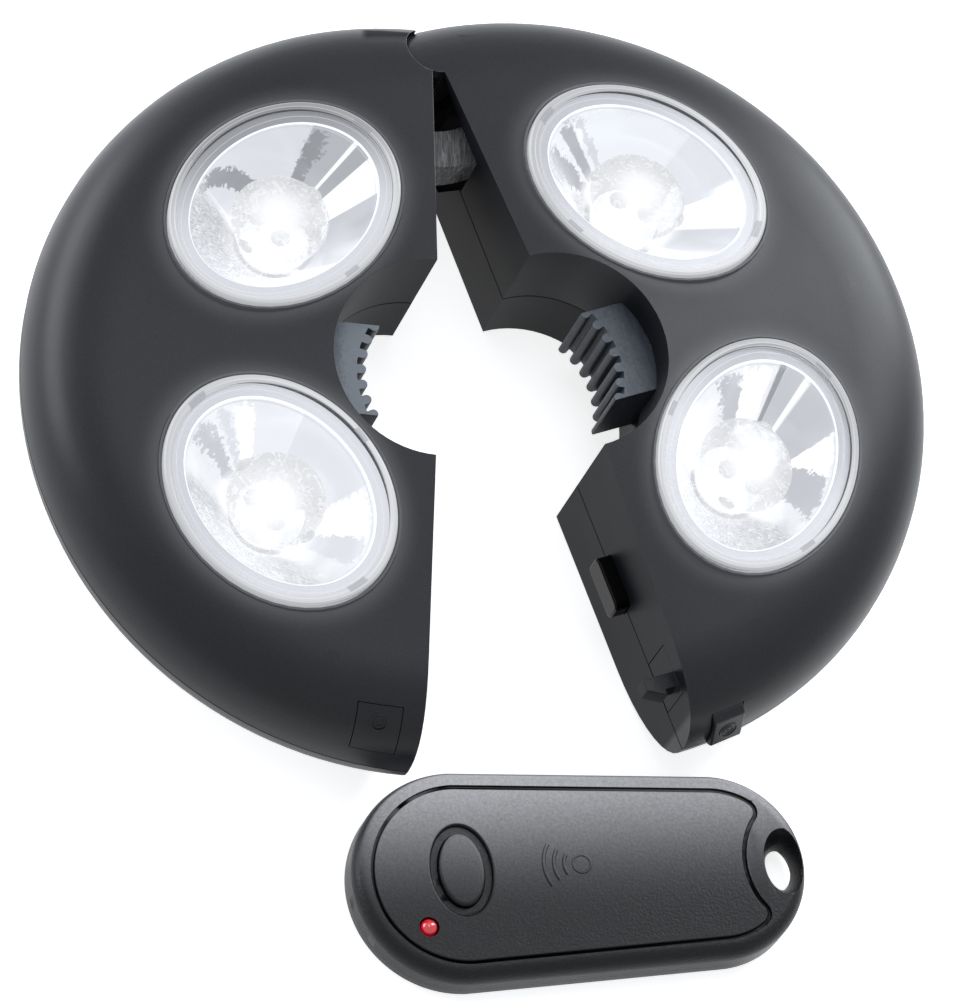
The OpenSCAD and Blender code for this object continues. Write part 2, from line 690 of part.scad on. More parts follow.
module switch_board() right_half() at_button() {
    color(board_green) box_between([plunger_end - 5.2, -4.5, seam_z - 6], [plunger_end - 4, 7, seam_z + 9]);
    color(soft_black) box_between([plunger_end - 4 - skin, -3, seam_z + 1], [plunger_end - 1.2, 3, seam_z + 7]);
    color(steel) translate([plunger_end - 1.2 - skin, 0, seam_z + 4]) rotate([0, 90, 0])
        cylinder(r = 1.3, h = 1.2, $fn = 32);
}

module control_board() left_half() translate(works) {
    color(board_green) cube([22, 23, board_t]);
    color(soft_black) {
        box_between([4, 5, board_t - skin], [13, 13, board_t + 1.8]);
        box_between([14, 15, board_t - skin], [19.5, 21, board_t + 3.4]);
    }
    color(steel) box_between([2.5, 16.4, board_t - skin], [7.5, 20.4, board_t + 2.4]);
}

// ---- Batteries, screws and doors, drawn on the +X side ----

module cells() for (x = cell_x) color(steel) translate([x, cell_len / 2 - 1.2, cell_z])
    rotate([90, 0, 0]) {
        cylinder(r = cell_r, h = cell_len - 1.2);
        translate([0, 0, -1.2]) cylinder(r = 2.6, h = 1.3, $fn = 32);
    }

module contacts() for (s = [-1, 1]) color(steel) box_between(
    [cell_x[0] - cell_r + 1, s > 0 ? rib_y - contact_t : -rib_y, cell_z - cell_r + 0.95],
    [cell_x[1] + cell_r - 2.5, s > 0 ? rib_y : -rib_y + contact_t, cell_z + 5]);

module screws() for (a = screw_angles) color(steel) rotate([0, 0, a])
    translate([screw_rho, 0, head_z - head_h]) {
        difference() {
            cylinder(r = head_r, h = head_h, $fn = 32);
            for (t = [0, 90]) rotate([0, 0, t]) translate([-1.8, -0.35, -1]) cube([3.6, 0.7, 1.9]);
        }
        cylinder(r = screw_r, h = screw_len, $fn = 32);
    }

module battery_door() color(charcoal) difference() {
    intersection() {
        difference() { spun(back_profile); spun(back_hollow); }
        door_cut(-fit);
    }
    translate([door[1] - 3, -5, -1]) cube([6, 10, 2.2]);
}

// ---- Remote, drawn about its own middle and laid on the ground ----

// Outline of two round ends joined by straight sides, drawn in by a distance
function remote_outline(in) = let (r1 = remote_r1 - in, r2 = remote_r2 - in,
    lean = asin((remote_r1 - remote_r2) / remote_span), n = 12)
    concat([for (i = [0:n]) let (a = lean - 90 + (180 - 2 * lean) * i / n + 0)
            [remote_c2 + r2 * cos(a), r2 * sin(a)]],
        [for (i = [0:n]) let (a = 90 - lean + (180 + 2 * lean) * i / n)
            [remote_c1 + r1 * cos(a), r1 * sin(a)]]);

module at_remote() translate([remote_x, -remote_y, 0]) rotate([0, 0, remote_turn]) children();
module outline(in, h) linear_extrude(h) polygon(remote_outline(in));
module plate_outline(grow) offset(delta = grow) offset(r = 2.2, $fn = 24) offset(delta = -2.2) difference() {
    polygon(remote_outline(rim_w + groove_w));
    translate([notch_x, 0]) circle(r = notch_r);
}
module ring_cut() translate([ring_x, 0, 0]) {
    translate([0, 0, -1]) oval(ring_hole[0], ring_hole[1], far / 4);
    hull() {
        translate([0, 0, remote_t - 5]) oval(ring_hole[0], ring_hole[1], skin);
        translate([0, 0, remote_t]) oval(ring_dish[0], ring_dish[1], 1);
    }
}

module remote_top_shell() color(charcoal) at_remote() difference() {
    hull() {
        translate([0, 0, remote_seam]) outline(0, rim_z - remote_seam);
        translate([0, 0, remote_t - 1.6]) outline(rim_w * 0.45, skin);
        translate([0, 0, remote_t - skin]) outline(rim_w, skin);
    }
    difference() {
        translate([0, 0, -1]) outline(remote_wall, plate_z - remote_wall + 1);
        translate([ring_x, 0, 0]) oval(ring_dish[0] + 1.4, ring_dish[1] + 1.4, remote_t);
    }
    translate([0, 0, plate_z]) linear_extrude(5) plate_outline(groove_w);
    ring_cut();
    translate([key_x, key_y, 0]) oval(key_short + slip, key_long + slip, remote_t);
    translate([lamp_spot[0], lamp_spot[1], 0]) cylinder(r = lamp_spot_r + fit, h = remote_t, $fn = 32);
}

module remote_bottom_shell() color(charcoal) at_remote() difference() {
    union() {
        difference() {
            hull() {
                outline(2.2, skin);
                translate([0, 0, 1.8]) outline(0, remote_seam - 1.8);
            }
            translate([0, 0, remote_wall]) outline(remote_wall + 0.8, remote_t);
        }
        translate([ring_x, 0, remote_wall - skin]) oval(ring_hole[0] + 1.5, ring_hole[1] + 1.5, remote_seam - remote_wall);
        translate([coin_x, 0, remote_wall - skin]) difference() {
            cylinder(r = coin_r + 2.4, h = 1.4);
            translate([0, 0, -1]) cylinder(r = coin_r + 0.2, h = 4);
        }
        for (p = [[-20, 12], [-20, -12], [30, 0]]) translate([p[0], p[1], remote_wall - skin])
            cylinder(r = 2, h = remote_seam - remote_wall + skin, $fn = 32);
    }
    translate([ring_x, 0, -1]) oval(ring_hole[0], ring_hole[1], remote_t);
    translate([coin_x, 0, -1]) cylinder(r = coin_r + 1.2 + fit, h = 1 + cover_t);
    translate([coin_x, 0, -1]) cylinder(r = coin_r + 0.2, h = remote_seam);
}

module arc_ridge(r, w, a, h) linear_extrude(h) polygon(concat(
    [for (i = [0:8]) let (t = 180 - a + 2 * a * i / 8) [(r + w / 2) * cos(t), (r + w / 2) * sin(t)]],
    [for (i = [8:-1:0]) let (t = 180 - a + 2 * a * i / 8) [(r - w / 2) * cos(t), (r - w / 2) * sin(t)]]));

module remote_face_plate() color(charcoal) at_remote() {
    difference() {
        translate([0, 0, plate_z]) linear_extrude(remote_t - plate_z - 0.3) plate_outline(0);
        translate([key_x, key_y, 0]) oval(key_short + 1.9, key_long + 2.1, 2 * remote_t);
        translate([lamp_spot[0], lamp_spot[1], 0])
            cylinder(r = lamp_spot_r + fit, h = 2 * remote_t, $fn = 32);
    }
    translate([sign_x, sign_y, remote_t - 0.3 - skin]) {
        for (r = [4.6, 7.2, 9.8]) arc_ridge(r, 1, 34, 0.3);
        difference() {
            cylinder(r = 2.3, h = 0.3, $fn = 32);
            translate([0, 0, -1]) cylinder(r = 1.7, h = 3, $fn = 32);
        }
    }
}

module remote_button() color(charcoal) at_remote() translate([key_x, key_y, 0]) {
    translate([0, 0, plate_z - 2.6]) oval(key_short, key_long, 3.6);
    translate([0, 0, plate_z - remote_wall - key_travel - 1.2]) oval(key_short + 1, key_long + 1, 1);
    translate([0, 0, plate_z - remote_wall - key_travel - 0.4]) oval(key_short - 1, key_long - 1, 2.4);
}

module remote_lamp() color(red) at_remote() translate([lamp_spot[0], lamp_spot[1], 0]) {
    translate([0, 0, remote_seam + 1.2]) cylinder(r = lamp_spot_r, h = remote_t - remote_seam - 2, $fn = 32);
    translate([0, 0, remote_t - 0.8]) intersection() {
        sphere(r = lamp_spot_r, $fn = 32);
        translate([-5, -5, -skin]) cube(10);
    }
}

module remote_board() color(board_green) at_remote() difference() {
    translate([0, 0, remote_seam]) outline(remote_wall + 2.5, 1.2);
    translate([remote_c2 + 6, -far / 2, 0]) cube(far);
}

module remote_coin_cell() color(steel) at_remote() translate([coin_x, 0, cover_t])
    cylinder(r = coin_r, h = coin_h - 0.1);

module remote_battery_cover() color(charcoal) at_remote() translate([coin_x, 0, 0]) difference() {
    cylinder(r = coin_r + 1.2, h = cover_t - 0.05);
    translate([-6, -0.8, -1]) cube([12, 1.6, 1.6]);
}

// ---- The nodes ----

color(charcoal) left_half() front_cover(-1);  // left_front_cover
color(charcoal) left_half() back_cover(-1);  // left_back_cover
color(charcoal) right_half() front_cover(1);  // right_front_cover
color(charcoal) right_half() back_cover(1);  // right_back_cover
color(clear) left_half() at_lamp(1) lens();  // upper_left_lens
color(clear) left_half() at_lamp(-1) lens();  // lower_left_lens
color(clear) right_half() at_lamp(1) lens();  // upper_right_lens
color(clear) right_half() at_lamp(-1) lens();  // lower_right_lens
color(soft_black) left_half() at_lamp(1) seal();  // upper_left_seal
color(soft_black) left_half() at_lamp(-1) seal();  // lower_left_seal
color(soft_black) right_half() at_lamp(1) seal();  // upper_right_seal
color(soft_black) right_half() at_lamp(-1) seal();  // lower_right_seal
color(mirror_grey) left_half() at_lamp(1) reflector();  // upper_left_reflector
color(mirror_grey) left_half() at_lamp(-1) reflector();  // lower_left_reflector
color(mirror_grey) right_half() at_lamp(1) reflector();  // upper_right_reflector
color(mirror_grey) right_half() at_lamp(-1) reflector();  // lower_right_reflector
color(board_green) left_half() at_lamp(1) board();  // upper_left_board
color(board_green) left_half() at_lamp(-1) board();  // lower_left_board
color(board_green) right_half() at_lamp(1) board();  // upper_right_board
color(board_green) right_half() at_lamp(-1) board();  // lower_right_board
color(lamp_white) left_half() at_lamp(1) leds();  // upper_left_leds
color(lamp_white) left_half() at_lamp(-1) leds();  // lower_left_leds
color(lamp_white) right_half() at_lamp(1) leds();  // upper_right_leds
color(lamp_white) right_half() at_lamp(-1) leds();  // lower_right_leds
hinge_pin();
cable_bridge();
control_board();
switch_board();
left_half() cells();  // left_cells
right_half() cells();  // right_cells
left_half() contacts();  // left_contacts
right_half() contacts();  // right_contacts
left_half() screws();  // left_screws
right_half() screws();  // right_screws
left_half() battery_door();  // left_battery_door
right_half() battery_door();  // right_battery_door
color(jaw_grey) left_half() jaw();  // left_jaw
color(jaw_grey) right_half() jaw();  // right_jaw
color(soft_black) left_half() jaw_slide();  // left_jaw_slide
color(soft_black) right_half() jaw_slide();  // right_jaw_slide
color(steel) left_half() spring();  // left_jaw_spring
color(steel) right_half() spring();  // right_jaw_spring
locating_peg();
latch_hook();
release_tab();
power_button();
remote_top_shell();
remote_bottom_shell();
remote_face_plate();
remote_button();
remote_lamp();
remote_board();
remote_coin_cell();
remote_battery_cover();
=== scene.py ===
# %% [markdown]
# # Patio umbrella light
#
# The real lamp is two moulded half rings that clamp round a parasol pole, with four oval lamps on
# the face, and a pocket remote that lies beside it. This lesson dresses the engineering model:
# it keeps every size, and adds the rounded edges, the clear lenses, the mirror bowls, the worn
# rubber and the grain that make the plain solids look like the real thing.

# %% Load the frame
import json
from contextlib import contextmanager
from functools import reduce
from math import atan2, cos, pi, radians, sin

import bmesh
import bpy
from mathutils import Matrix, Vector

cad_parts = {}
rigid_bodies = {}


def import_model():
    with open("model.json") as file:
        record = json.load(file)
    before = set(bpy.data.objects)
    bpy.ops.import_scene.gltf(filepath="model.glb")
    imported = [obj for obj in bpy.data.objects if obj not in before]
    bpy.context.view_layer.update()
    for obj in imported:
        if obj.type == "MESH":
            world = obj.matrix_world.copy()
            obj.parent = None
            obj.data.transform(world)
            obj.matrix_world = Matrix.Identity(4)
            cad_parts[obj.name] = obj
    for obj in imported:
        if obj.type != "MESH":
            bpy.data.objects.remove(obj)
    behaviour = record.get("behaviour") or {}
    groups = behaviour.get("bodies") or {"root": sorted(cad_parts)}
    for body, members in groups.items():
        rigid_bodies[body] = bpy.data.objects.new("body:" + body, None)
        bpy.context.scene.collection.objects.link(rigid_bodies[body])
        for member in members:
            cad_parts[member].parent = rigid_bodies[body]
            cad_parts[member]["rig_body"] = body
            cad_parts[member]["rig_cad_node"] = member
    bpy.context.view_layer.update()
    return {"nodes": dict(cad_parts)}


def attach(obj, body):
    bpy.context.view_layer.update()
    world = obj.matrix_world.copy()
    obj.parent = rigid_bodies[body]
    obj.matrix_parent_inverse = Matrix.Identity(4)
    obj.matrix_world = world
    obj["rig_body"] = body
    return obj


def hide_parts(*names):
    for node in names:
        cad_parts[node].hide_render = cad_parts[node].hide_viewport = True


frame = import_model()
bpy.ops.object.select_all(action="DESELECT")
nodes = frame["nodes"]
MM = 0.001

# %% [markdown]
# ## Camera, floor and light
#
# The camera stands up and to the left of the lamp with a long lens, so the round body is seen
# almost as a true circle. The floor is white for camera, glossy and transmission rays, and an
# ordinary pale floor for all other light, so it still takes the soft shadow. Broad softboxes
# give the long pale streaks that dark plastic needs to show its shape.

# %% Camera
EYE = (-0.4269039, -0.8030252, 1.8301681)
# The three axes of the camera, squared up against each other
back = Vector((-0.2203, -0.3847, 0.8963)).normalized()
up = back.cross(Vector((0.9707, 0.0038, 0.2403)).normalized()).normalized()
right = up.cross(back)
eye = bpy.data.objects.new("eye", bpy.data.cameras.new("eye"))
bpy.context.scene.collection.objects.link(eye)
turn = Matrix((right, up, back)).transposed()
eye.matrix_world = Matrix.Translation(EYE) @ turn.to_4x4()
eye.data.sensor_width = 36
eye.data.lens = 288.34
eye.data.clip_end = 20
bpy.context.scene.camera = eye
print("camera looks along", tuple(round(v, 3) for v in -back))


# %% [markdown]
# ## Node helper
#
# Materials are sums of small patterns, and a sum is easiest to read as a sum. One small class
# wraps a node's output, so that 1 - mask adds the Math node by itself, and one method adds any
# other node.

# %% The class that wraps a socket
class Tap:
    """One output socket. Arithmetic on taps adds Math nodes; node() adds any other node."""

    def __init__(self, tree, socket=None):
        self.tree, self.socket = tree, socket

    def node(self, kind, settings=None, sockets=None, out=0):
        made = self.tree.nodes.new("ShaderNode" + kind)
        for name, value in (settings or {}).items():
            setattr(made, name, value)
        for name, value in (sockets or {}).items():
            into = made.inputs[name] if isinstance(name, int) else next(
                s for s in made.inputs if name in (s.identifier, s.name))
            if isinstance(value, Tap):
                self.tree.links.new(value.socket, into)
            else:
                into.default_value = value
        return Tap(self.tree, made.outputs[out] if made.outputs else None)

    def maths(self, operation, *others):
        """A Math node whose first value is this tap."""
        return self.node("Math", {"operation": operation}, dict(enumerate((self,) + others)))

    def __add__(self, other):
        return self.maths("ADD", other)

    def __mul__(self, other):
        return self.maths("MULTIPLY", other)

    def __sub__(self, other):
        return self.maths("SUBTRACT", other)

    def __rsub__(self, other):
        return self.node("Math", {"operation": "SUBTRACT"}, {0: other, 1: self})

    def __pow__(self, other):
        return self.maths("POWER", other)

    __radd__, __rmul__ = __add__, __mul__


# %% Places and directions
def spot(tap):
    """Object coordinates, which are the row frame's own metres."""
    return tap.node("TexCoord", out=3)


def facing(tap):
    """The way the surface faces."""
    return tap.node("NewGeometry", out=1)


def parts(vector, letters):
    """The X, Y or Z of a vector, one tap for each letter."""
    return [vector.node("SeparateXYZ", None, {"Vector": vector}, out="XYZ".index(letter))
            for letter in letters]


def in_frame(place, matrix, scale=(1, 1, 1)):
    """The place as seen from a frame that is moved, and turned about Z."""
    return place.node("Mapping", {"vector_type": "TEXTURE"}, {
        "Vector": place, "Location": matrix.translation[:],
        "Rotation": (0, 0, atan2(matrix[1][0], matrix[0][0])), "Scale": scale})


def from_axis(place, centre):
    """Distance from the upright line through centre."""
    off = place.node("VectorMath", {"operation": "SUBTRACT"}, {0: place, 1: centre[:]})
    flat = off.node("VectorMath", {"operation": "MULTIPLY"}, {0: off, 1: (1, 1, 0)})
    return flat.node("VectorMath", {"operation": "LENGTH"}, {0: flat}, out=1)


# %% Small patterns that several finishes share
def noise(place, scale, detail=2.0, rough=0.5, warp=0.0):
    return place.node("TexNoise", None, {"Vector": place, "Scale": scale, "Detail": detail,
                                         "Roughness": rough, "Distortion": warp})


def largest(taps):
    """The largest of several values."""
    return reduce(lambda one, other: one.maths("MAXIMUM", other), taps)


def rise(value, low, high):
    """0 below low, 1 above high, and smooth between; low may be the larger."""
    return value.node("MapRange", {"interpolation_type": "SMOOTHSTEP"},
                      {"Value": value, "From Min": low, "From Max": high})


def band(value, low, high, soft=0.004):
    """1 between low and high."""
    return rise(value, low - soft, low + soft) * rise(value, high + soft, high - soft)


def blend(factor, first, second):
    return factor.node("Mix", {"data_type": "RGBA"},
                       {"Factor_Float": factor, "A_Color": first, "B_Color": second}, out=2)


def grey(level):
    return (level, level, level, 1.0)


def bump(height, distance, strength):
    return height.node("Bump", None, {"Height": height, "Distance": distance,
                                      "Strength": strength})


def plastic(tap, **sockets):
    """The Principled shader, with its sockets written as words."""
    return tap.node("BsdfPrincipled", None,
                    {name.replace("_", " "): value for name, value in sockets.items()})


def mix(tap, factor, first, second):
    """Two shaders, mixed."""
    return tap.node("MixShader", None, {0: factor, 1: first, 2: second})


def finish(name, shader_of):
    """A new material whose surface is what shader_of(tap) gives."""
    made = bpy.data.materials.new(name)
    made.use_nodes = True
    made.node_tree.nodes.clear()
    tap = Tap(made.node_tree)
    tap.node("OutputMaterial", None, {"Surface": shader_of(tap)})
    return made


# %% Floor and background
def seen_directly(tap):
    """1 for the rays that show the background: camera, glossy and transmission rays."""
    camera, glossy, transmission = 0, 3, 6
    return largest([tap.node("LightPath", out=ray) for ray in (camera, glossy, transmission)])


def floor_shader(tap):
    speckle = noise(spot(tap), 900)
    matt = tap.node("BsdfDiffuse", None, {"Color": blend(speckle, grey(0.79), grey(0.81))})
    glow = tap.node("Emission", None, {
        "Color": blend(seen_directly(tap), grey(0.0), grey(0.78)), "Strength": 1.0})
    return tap.node("AddShader", None, {0: matt, 1: glow})


bpy.ops.mesh.primitive_grid_add(x_subdivisions=8, y_subdivisions=8, size=9,
                                location=(0, 0, -0.0004))
floor = bpy.context.object
floor.name = "floor"
floor.data.materials.append(finish("pale_floor", floor_shader))

world = bpy.data.worlds.new("studio")
world.use_nodes = True
world.node_tree.nodes.clear()
tap = Tap(world.node_tree)
y, z = parts(tap.node("TexCoord", out=0), "YZ")
back_sky = rise(y, -0.15, 0.75) * rise(z, 0.25, 0.75)
room = blend(back_sky, (0.33, 0.345, 0.37, 1), (0.46, 0.475, 0.51, 1))
tap.node("OutputWorld", None, {"Surface": tap.node(
    "Background", None, {"Color": blend(seen_directly(tap), room, grey(1.0)), "Strength": 1.0})})
bpy.context.scene.world = world
bpy.context.scene.view_settings.view_transform = "Standard"


# %% Softboxes
def softbox(name, place, aim, size, level):
    """level is the share of full white that this lamp alone gives a white card that faces it."""
    light = bpy.data.lights.new(name, "AREA")
    light.shape = "RECTANGLE"
    light.size, light.size_y = size
    away = Vector(place) - Vector(aim)
    light.energy = level * pi * pi * away.length_squared
    light.color = (0.92, 0.96, 1.0)
    box = bpy.data.objects.new(name, light)
    box.location = place
    box.rotation_euler = away.to_track_quat("Z", "Y").to_euler()
    bpy.context.scene.collection.objects.link(box)


softbox("left_back_box", (-0.98, 0.56, 0.24), (0, 0, 0.03), (1.20, 0.66), 1.20)
softbox("right_back_box", (0.80, 0.66, 0.55), (0.05, 0, 0.03), (0.42, 1.20), 1.20)
softbox("overhead_box", (-0.10, 0.35, 1.60), (0, 0, 0.03), (0.9, 0.9), 0.20)

# %% [markdown]
# ## Finishes
#
# The body is matt charcoal moulding with a fine spark-eroded grain. The lamps spill a little
# light on the plastic round their rims, which is painted as a faint glow that fades away from
# each lens. Every finish reads Object coordinates, so its pattern stays on the piece.

# %% Where the halves, lamps and remote are
PIVOT = Vector((0.002, 0.0898, 0))
OPEN = radians(21.5)
left_half = Matrix.Identity(4)
right_half = Matrix.Translation(PIVOT) @ Matrix.Rotation(OPEN, 4, "Z") @ Matrix.Translation(-PIVOT)
LENS_RHO, LENS_Z, FACE_SLOPE = 0.0547, 0.045075, radians(6.9)
SHORT, LONG = 0.0264, 0.0327          # half width and half length of a lens


def lamp_frame(azimuth, half):
    """Local X runs along the radius, Z out of the face."""
    return half @ Matrix.Rotation(radians(azimuth), 4, "Z") @ Matrix.Translation(
        (LENS_RHO, 0, LENS_Z)) @ Matrix.Rotation(FACE_SLOPE, 4, "Y")


lamps = {
    "upper_left": lamp_frame(135, left_half),
    "lower_left": lamp_frame(225, left_half),
    "upper_right": lamp_frame(45, right_half),
    "lower_right": lamp_frame(-45, right_half),
}
remote = Matrix.Translation((0.0465, -0.1182, 0)) @ Matrix.Rotation(radians(7.6), 4, "Z")
print("lamp centres", {n: tuple(round(v, 4) for v in m.translation) for n, m in lamps.items()})

# %% Charcoal body
COVER_SEAM = 0.021                    # height at which a front cover meets its back cover


def oval_reach(place, matrix, short=SHORT, long=LONG):
    """1 on an oval's outline, less inside and more outside."""
    turned = in_frame(place, matrix, (short, long, 10))
    return turned.node("VectorMath", {"operation": "LENGTH"}, {0: turned}, out=1)


def charcoal(tap, near=()):
    """Grained moulding, with a painted glow round the rims of the lamps in near."""
    place = spot(tap)
    y, z = parts(place, "YZ")
    grain, cloud = noise(place, 2300, 3, 0.6), noise(place, 45, 3)
    tone = blend(cloud, (0.0068, 0.0074, 0.0098, 1), (0.0090, 0.0097, 0.0124, 1))
    tone = blend(rise(grain, 0.4, 0.8), tone, (0.0145, 0.0156, 0.0196, 1))
    seam = rise((z - COVER_SEAM).maths("ABSOLUTE"), 0.00040, 0.00018)
    tone = blend(seam, tone, (0.0006, 0.0006, 0.0007, 1))
    # Painted shade: the recess round the hinge is darkened, as if it lay in the dark
    from_pin = from_axis(place, PIVOT)
    recess_shade = rise(from_pin, 0.0200, 0.0178) * rise(from_pin, 0.0070, 0.0076)
    recess_shade = recess_shade * rise(y, PIVOT.y + 0.0055, PIVOT.y + 0.0045)
    recess_shade = recess_shade * rise(z, 0.0385, 0.0365) * rise(z, 0.0040, 0.0060)
    tone = blend(recess_shade, tone, (0.0004, 0.0004, 0.0005, 1))
    dark = largest([seam, recess_shade])
    sockets = {"Base_Color": tone, "Roughness": 0.33 + 0.10 * cloud + 0.5 * dark,
               "Specular_IOR_Level": 0.25, "Normal": bump(grain, 0.00005, 0.5)}
    if near:
        # Painted light: the glow the lamps would spill on the plastic, fading away from each lens
        halo = largest([rise(oval_reach(place, matrix), 1.34, 0.97) ** 3.2 for matrix in near])
        sockets["Emission_Color"] = blend(halo, grey(0.0), (0.065, 0.067, 0.073, 1))
        sockets["Emission_Strength"] = 1.0
    # The upright faces of the split and the bore are rougher moulding, with less gloss
    level, = parts(facing(tap), "Z")
    reach = from_axis(place, left_half.translation).maths(
        "MINIMUM", from_axis(place, right_half.translation))
    upright = rise(level.maths("ABSOLUTE"), 0.5, 0.25) * rise(reach, 0.0965, 0.0945)
    rough = tap.node("BsdfDiffuse", None, {"Color": blend(grain, (0.004, 0.0045, 0.006, 1),
                                                          (0.016, 0.0175, 0.022, 1))})
    return mix(tap, 0.52 * upright, plastic(tap, **sockets), rough)


def edge_line_and_painted_highlight(tap):
    """The rounded edges: a darker line, and a painted highlight along the left half by the hinge.
    """
    place = spot(tap)
    x, y = parts(place, "XY")
    # Painted highlight, pale and emitted, along the left half's edge beside the hinge
    pale = rise(y, 0.040, 0.052) * rise(x, -0.0085, -0.0070) * rise(x, 0.0040, 0.0020)
    tone = blend(noise(place, 900), (0.0015, 0.0016, 0.0019, 1), (0.0040, 0.0042, 0.0050, 1))
    return plastic(tap, Base_Color=blend(pale, tone, (0.20, 0.205, 0.215, 1)),
                   Roughness=0.55 - 0.2 * pale, Specular_IOR_Level=0.35,
                   Emission_Color=blend(pale, grey(0.0), (0.10, 0.103, 0.11, 1)),
                   Emission_Strength=1.0)


body_finish = finish("charcoal_moulding", charcoal)
edge_finish = finish("moulding_edges", edge_line_and_painted_highlight)
front_finish = {}
# Each front cover gets a copy with the painted glow round its own side's lamps
for side in ("left", "right"):
    pair = [lamps[f"upper_{side}"], lamps[f"lower_{side}"]]
    front_finish[side] = finish(f"charcoal_painted_glow_{side}", lambda tap: charcoal(tap, pair))


# %% Rubber, seals, metal, boards and cells
def rubber(matrix, pale=1.0):
    """Blue-grey rubber, scuffed pale on its face near the ribs, with painted shade that
    darkens the face further out, where the cover shades it.
    """
    def shader(tap):
        place = spot(tap)
        local = in_frame(place, matrix)
        x, = parts(local, "X")
        level, = parts(facing(tap), "Z")
        scuffs = noise(place, 620, 3, 0.55, 1.6)
        streaks = local.node("Mapping", None, {"Vector": local, "Scale": (700, 160, 300)})
        streaks = noise(streaks, 1.0, 3, 0.6, 0.6)
        # Real scuffs on the upward face near the ribs, fading out with painted shade further out
        wear_and_shade = rise(level, 0.35, 0.9) * rise(x, 0.0262, 0.0180)
        wear_and_shade = wear_and_shade * (0.62 + 0.38 * rise(scuffs + 0.3 * streaks, 0.45, 0.85)) * pale
        tone = blend(rise(streaks, 0.3, 0.8), (0.036, 0.044, 0.058, 1), (0.060, 0.072, 0.090, 1))
        tone = blend(wear_and_shade, tone, (0.17, 0.19, 0.215, 1))
        return plastic(tap, Base_Color=tone, Roughness=0.38 + 0.2 * scuffs,
                       Specular_IOR_Level=0.35,
                       Normal=bump(scuffs + 0.5 * streaks, 0.00012, 0.6))
    return shader


def scratched(tap):
    """Rough grey moulding with tool marks both ways."""
    place = spot(tap)
    marks = largest([
        noise(place.node("Mapping", None, {"Vector": place, "Rotation": (0, 0, turn),
                                           "Scale": (1500, 130, 400)}), 1.0, 4, 0.7, 0.8)
        for turn in (0.5, 2.2)])
    return plastic(tap, Base_Color=blend(rise(marks, 0.46, 0.72), grey(0.16), grey(0.55)),
                   Roughness=0.55, Normal=bump(marks, 0.0002, 0.7))


def polished(tone, rough, grain=0.0, scale=900, **more):
    """Smooth plastic or metal with a faint unevenness."""
    def shader(tap):
        mottle = noise(spot(tap), scale, 2)
        low = tuple(v * 0.86 for v in tone[:3]) + (1,)
        sockets = {"Base_Color": blend(mottle, low, tone),
                   "Roughness": rough + 0.08 * mottle}
        if grain:
            sockets["Normal"] = bump(mottle, grain, 0.5)
        return plastic(tap, **sockets, **more)
    return shader


def board_shader(tap):
    """Green board with paler tracks that run square to each other."""
    place = spot(tap)
    tracks = place.node("TexBrick", None, {
        "Vector": place, "Color1": (0.010, 0.075, 0.035, 1), "Color2": (0.014, 0.095, 0.045, 1),
        "Mortar": (0.03, 0.17, 0.08, 1), "Scale": 160.0, "Mortar Size": 0.06})
    return plastic(tap, Base_Color=tracks, Roughness=0.3 + 0.1 * noise(place, 700))


peg_finish = finish("glossy_black", polished(
    (0.0015, 0.0015, 0.002, 1), 0.20, Specular_IOR_Level=0.10))
# The seal glows faintly: painted light, matching the painted glow round each lens
seal_painted_glow_finish = finish("soft_seal_painted_glow", polished(
    (0.03, 0.031, 0.034, 1), 0.45, 0.00004,
    Emission_Color=(0.040, 0.041, 0.045, 1), Emission_Strength=1.0))
steel_finish = finish("bright_steel", polished(
    (0.62, 0.62, 0.64, 1), 0.25, 0.00002, 2500, Metallic=1.0))
cell_finish = finish("cell_sleeve", polished(
    (0.10, 0.11, 0.13, 1), 0.3, 0.00002, Metallic=0.4))
bridge_finish = finish("rough_grey", scratched)
board_finish = finish("green_board", board_shader)
# The lamp board glows: painted light, as if lit by its domes
lamp_board_painted_glow_finish = finish("white_board_painted_glow", polished(
    (0.85, 0.86, 0.88, 1), 0.3, Emission_Color=(0.62, 0.63, 0.64, 1), Emission_Strength=1.0))
print("finishes", len(bpy.data.materials))


# %% [markdown]
# ## Tools for shaping
#
# Each piece is shaped as by hand: a primitive, then edit mode with faces or edges picked by
# their place. These helpers open and close edit mode, pick by a test, and put a finished piece
# at the origin with its place in its mesh.

# %% Selecting
def alone(obj):
    """Makes obj the only selected object, and the active one."""
    bpy.ops.object.select_all(action="DESELECT")
    obj.select_set(True)
    bpy.context.view_layer.objects.active = obj
    return obj


@contextmanager
def editing(obj):
    """Opens a piece in edit mode, by itself, and closes it again."""
    alone(obj)
    bpy.ops.object.mode_set(mode="EDIT")
    yield
    bpy.ops.object.mode_set(mode="OBJECT")


def pick(kind, test):
    """In edit mode, selects the faces, edges or verts that pass test, and says how many."""
    mesh = bmesh.from_edit_mesh(bpy.context.object.data)
    mesh.normal_update()
    bpy.ops.mesh.select_mode(type=kind[:-1].upper())
    bpy.ops.mesh.select_all(action="DESELECT")
    chosen = [item for item in getattr(mesh, kind) if test(item)]
    for item in chosen:
        item.select_set(True)
    mesh.select_flush_mode()
    bmesh.update_edit_mesh(bpy.context.object.data)
    return len(chosen)


def faces_up(face):
    return face.normal.z > 0.9


def faces_down(face):
    return face.normal.z < -0.9


def middle(edge):
    return (edge.verts[0].co + edge.verts[1].co) / 2


# %% Shaping in edit mode, in millimetres
def extrude(height):
    """Draws what is selected out along Z."""
    bpy.ops.mesh.extrude_region_move(TRANSFORM_OT_translate={"value": (0, 0, height * MM)})


def widen(grow, centre=(0, 0, 0)):
    """Grows what is selected away from an upright line."""
    bpy.ops.transform.resize(value=(grow, grow, 1), center_override=centre)


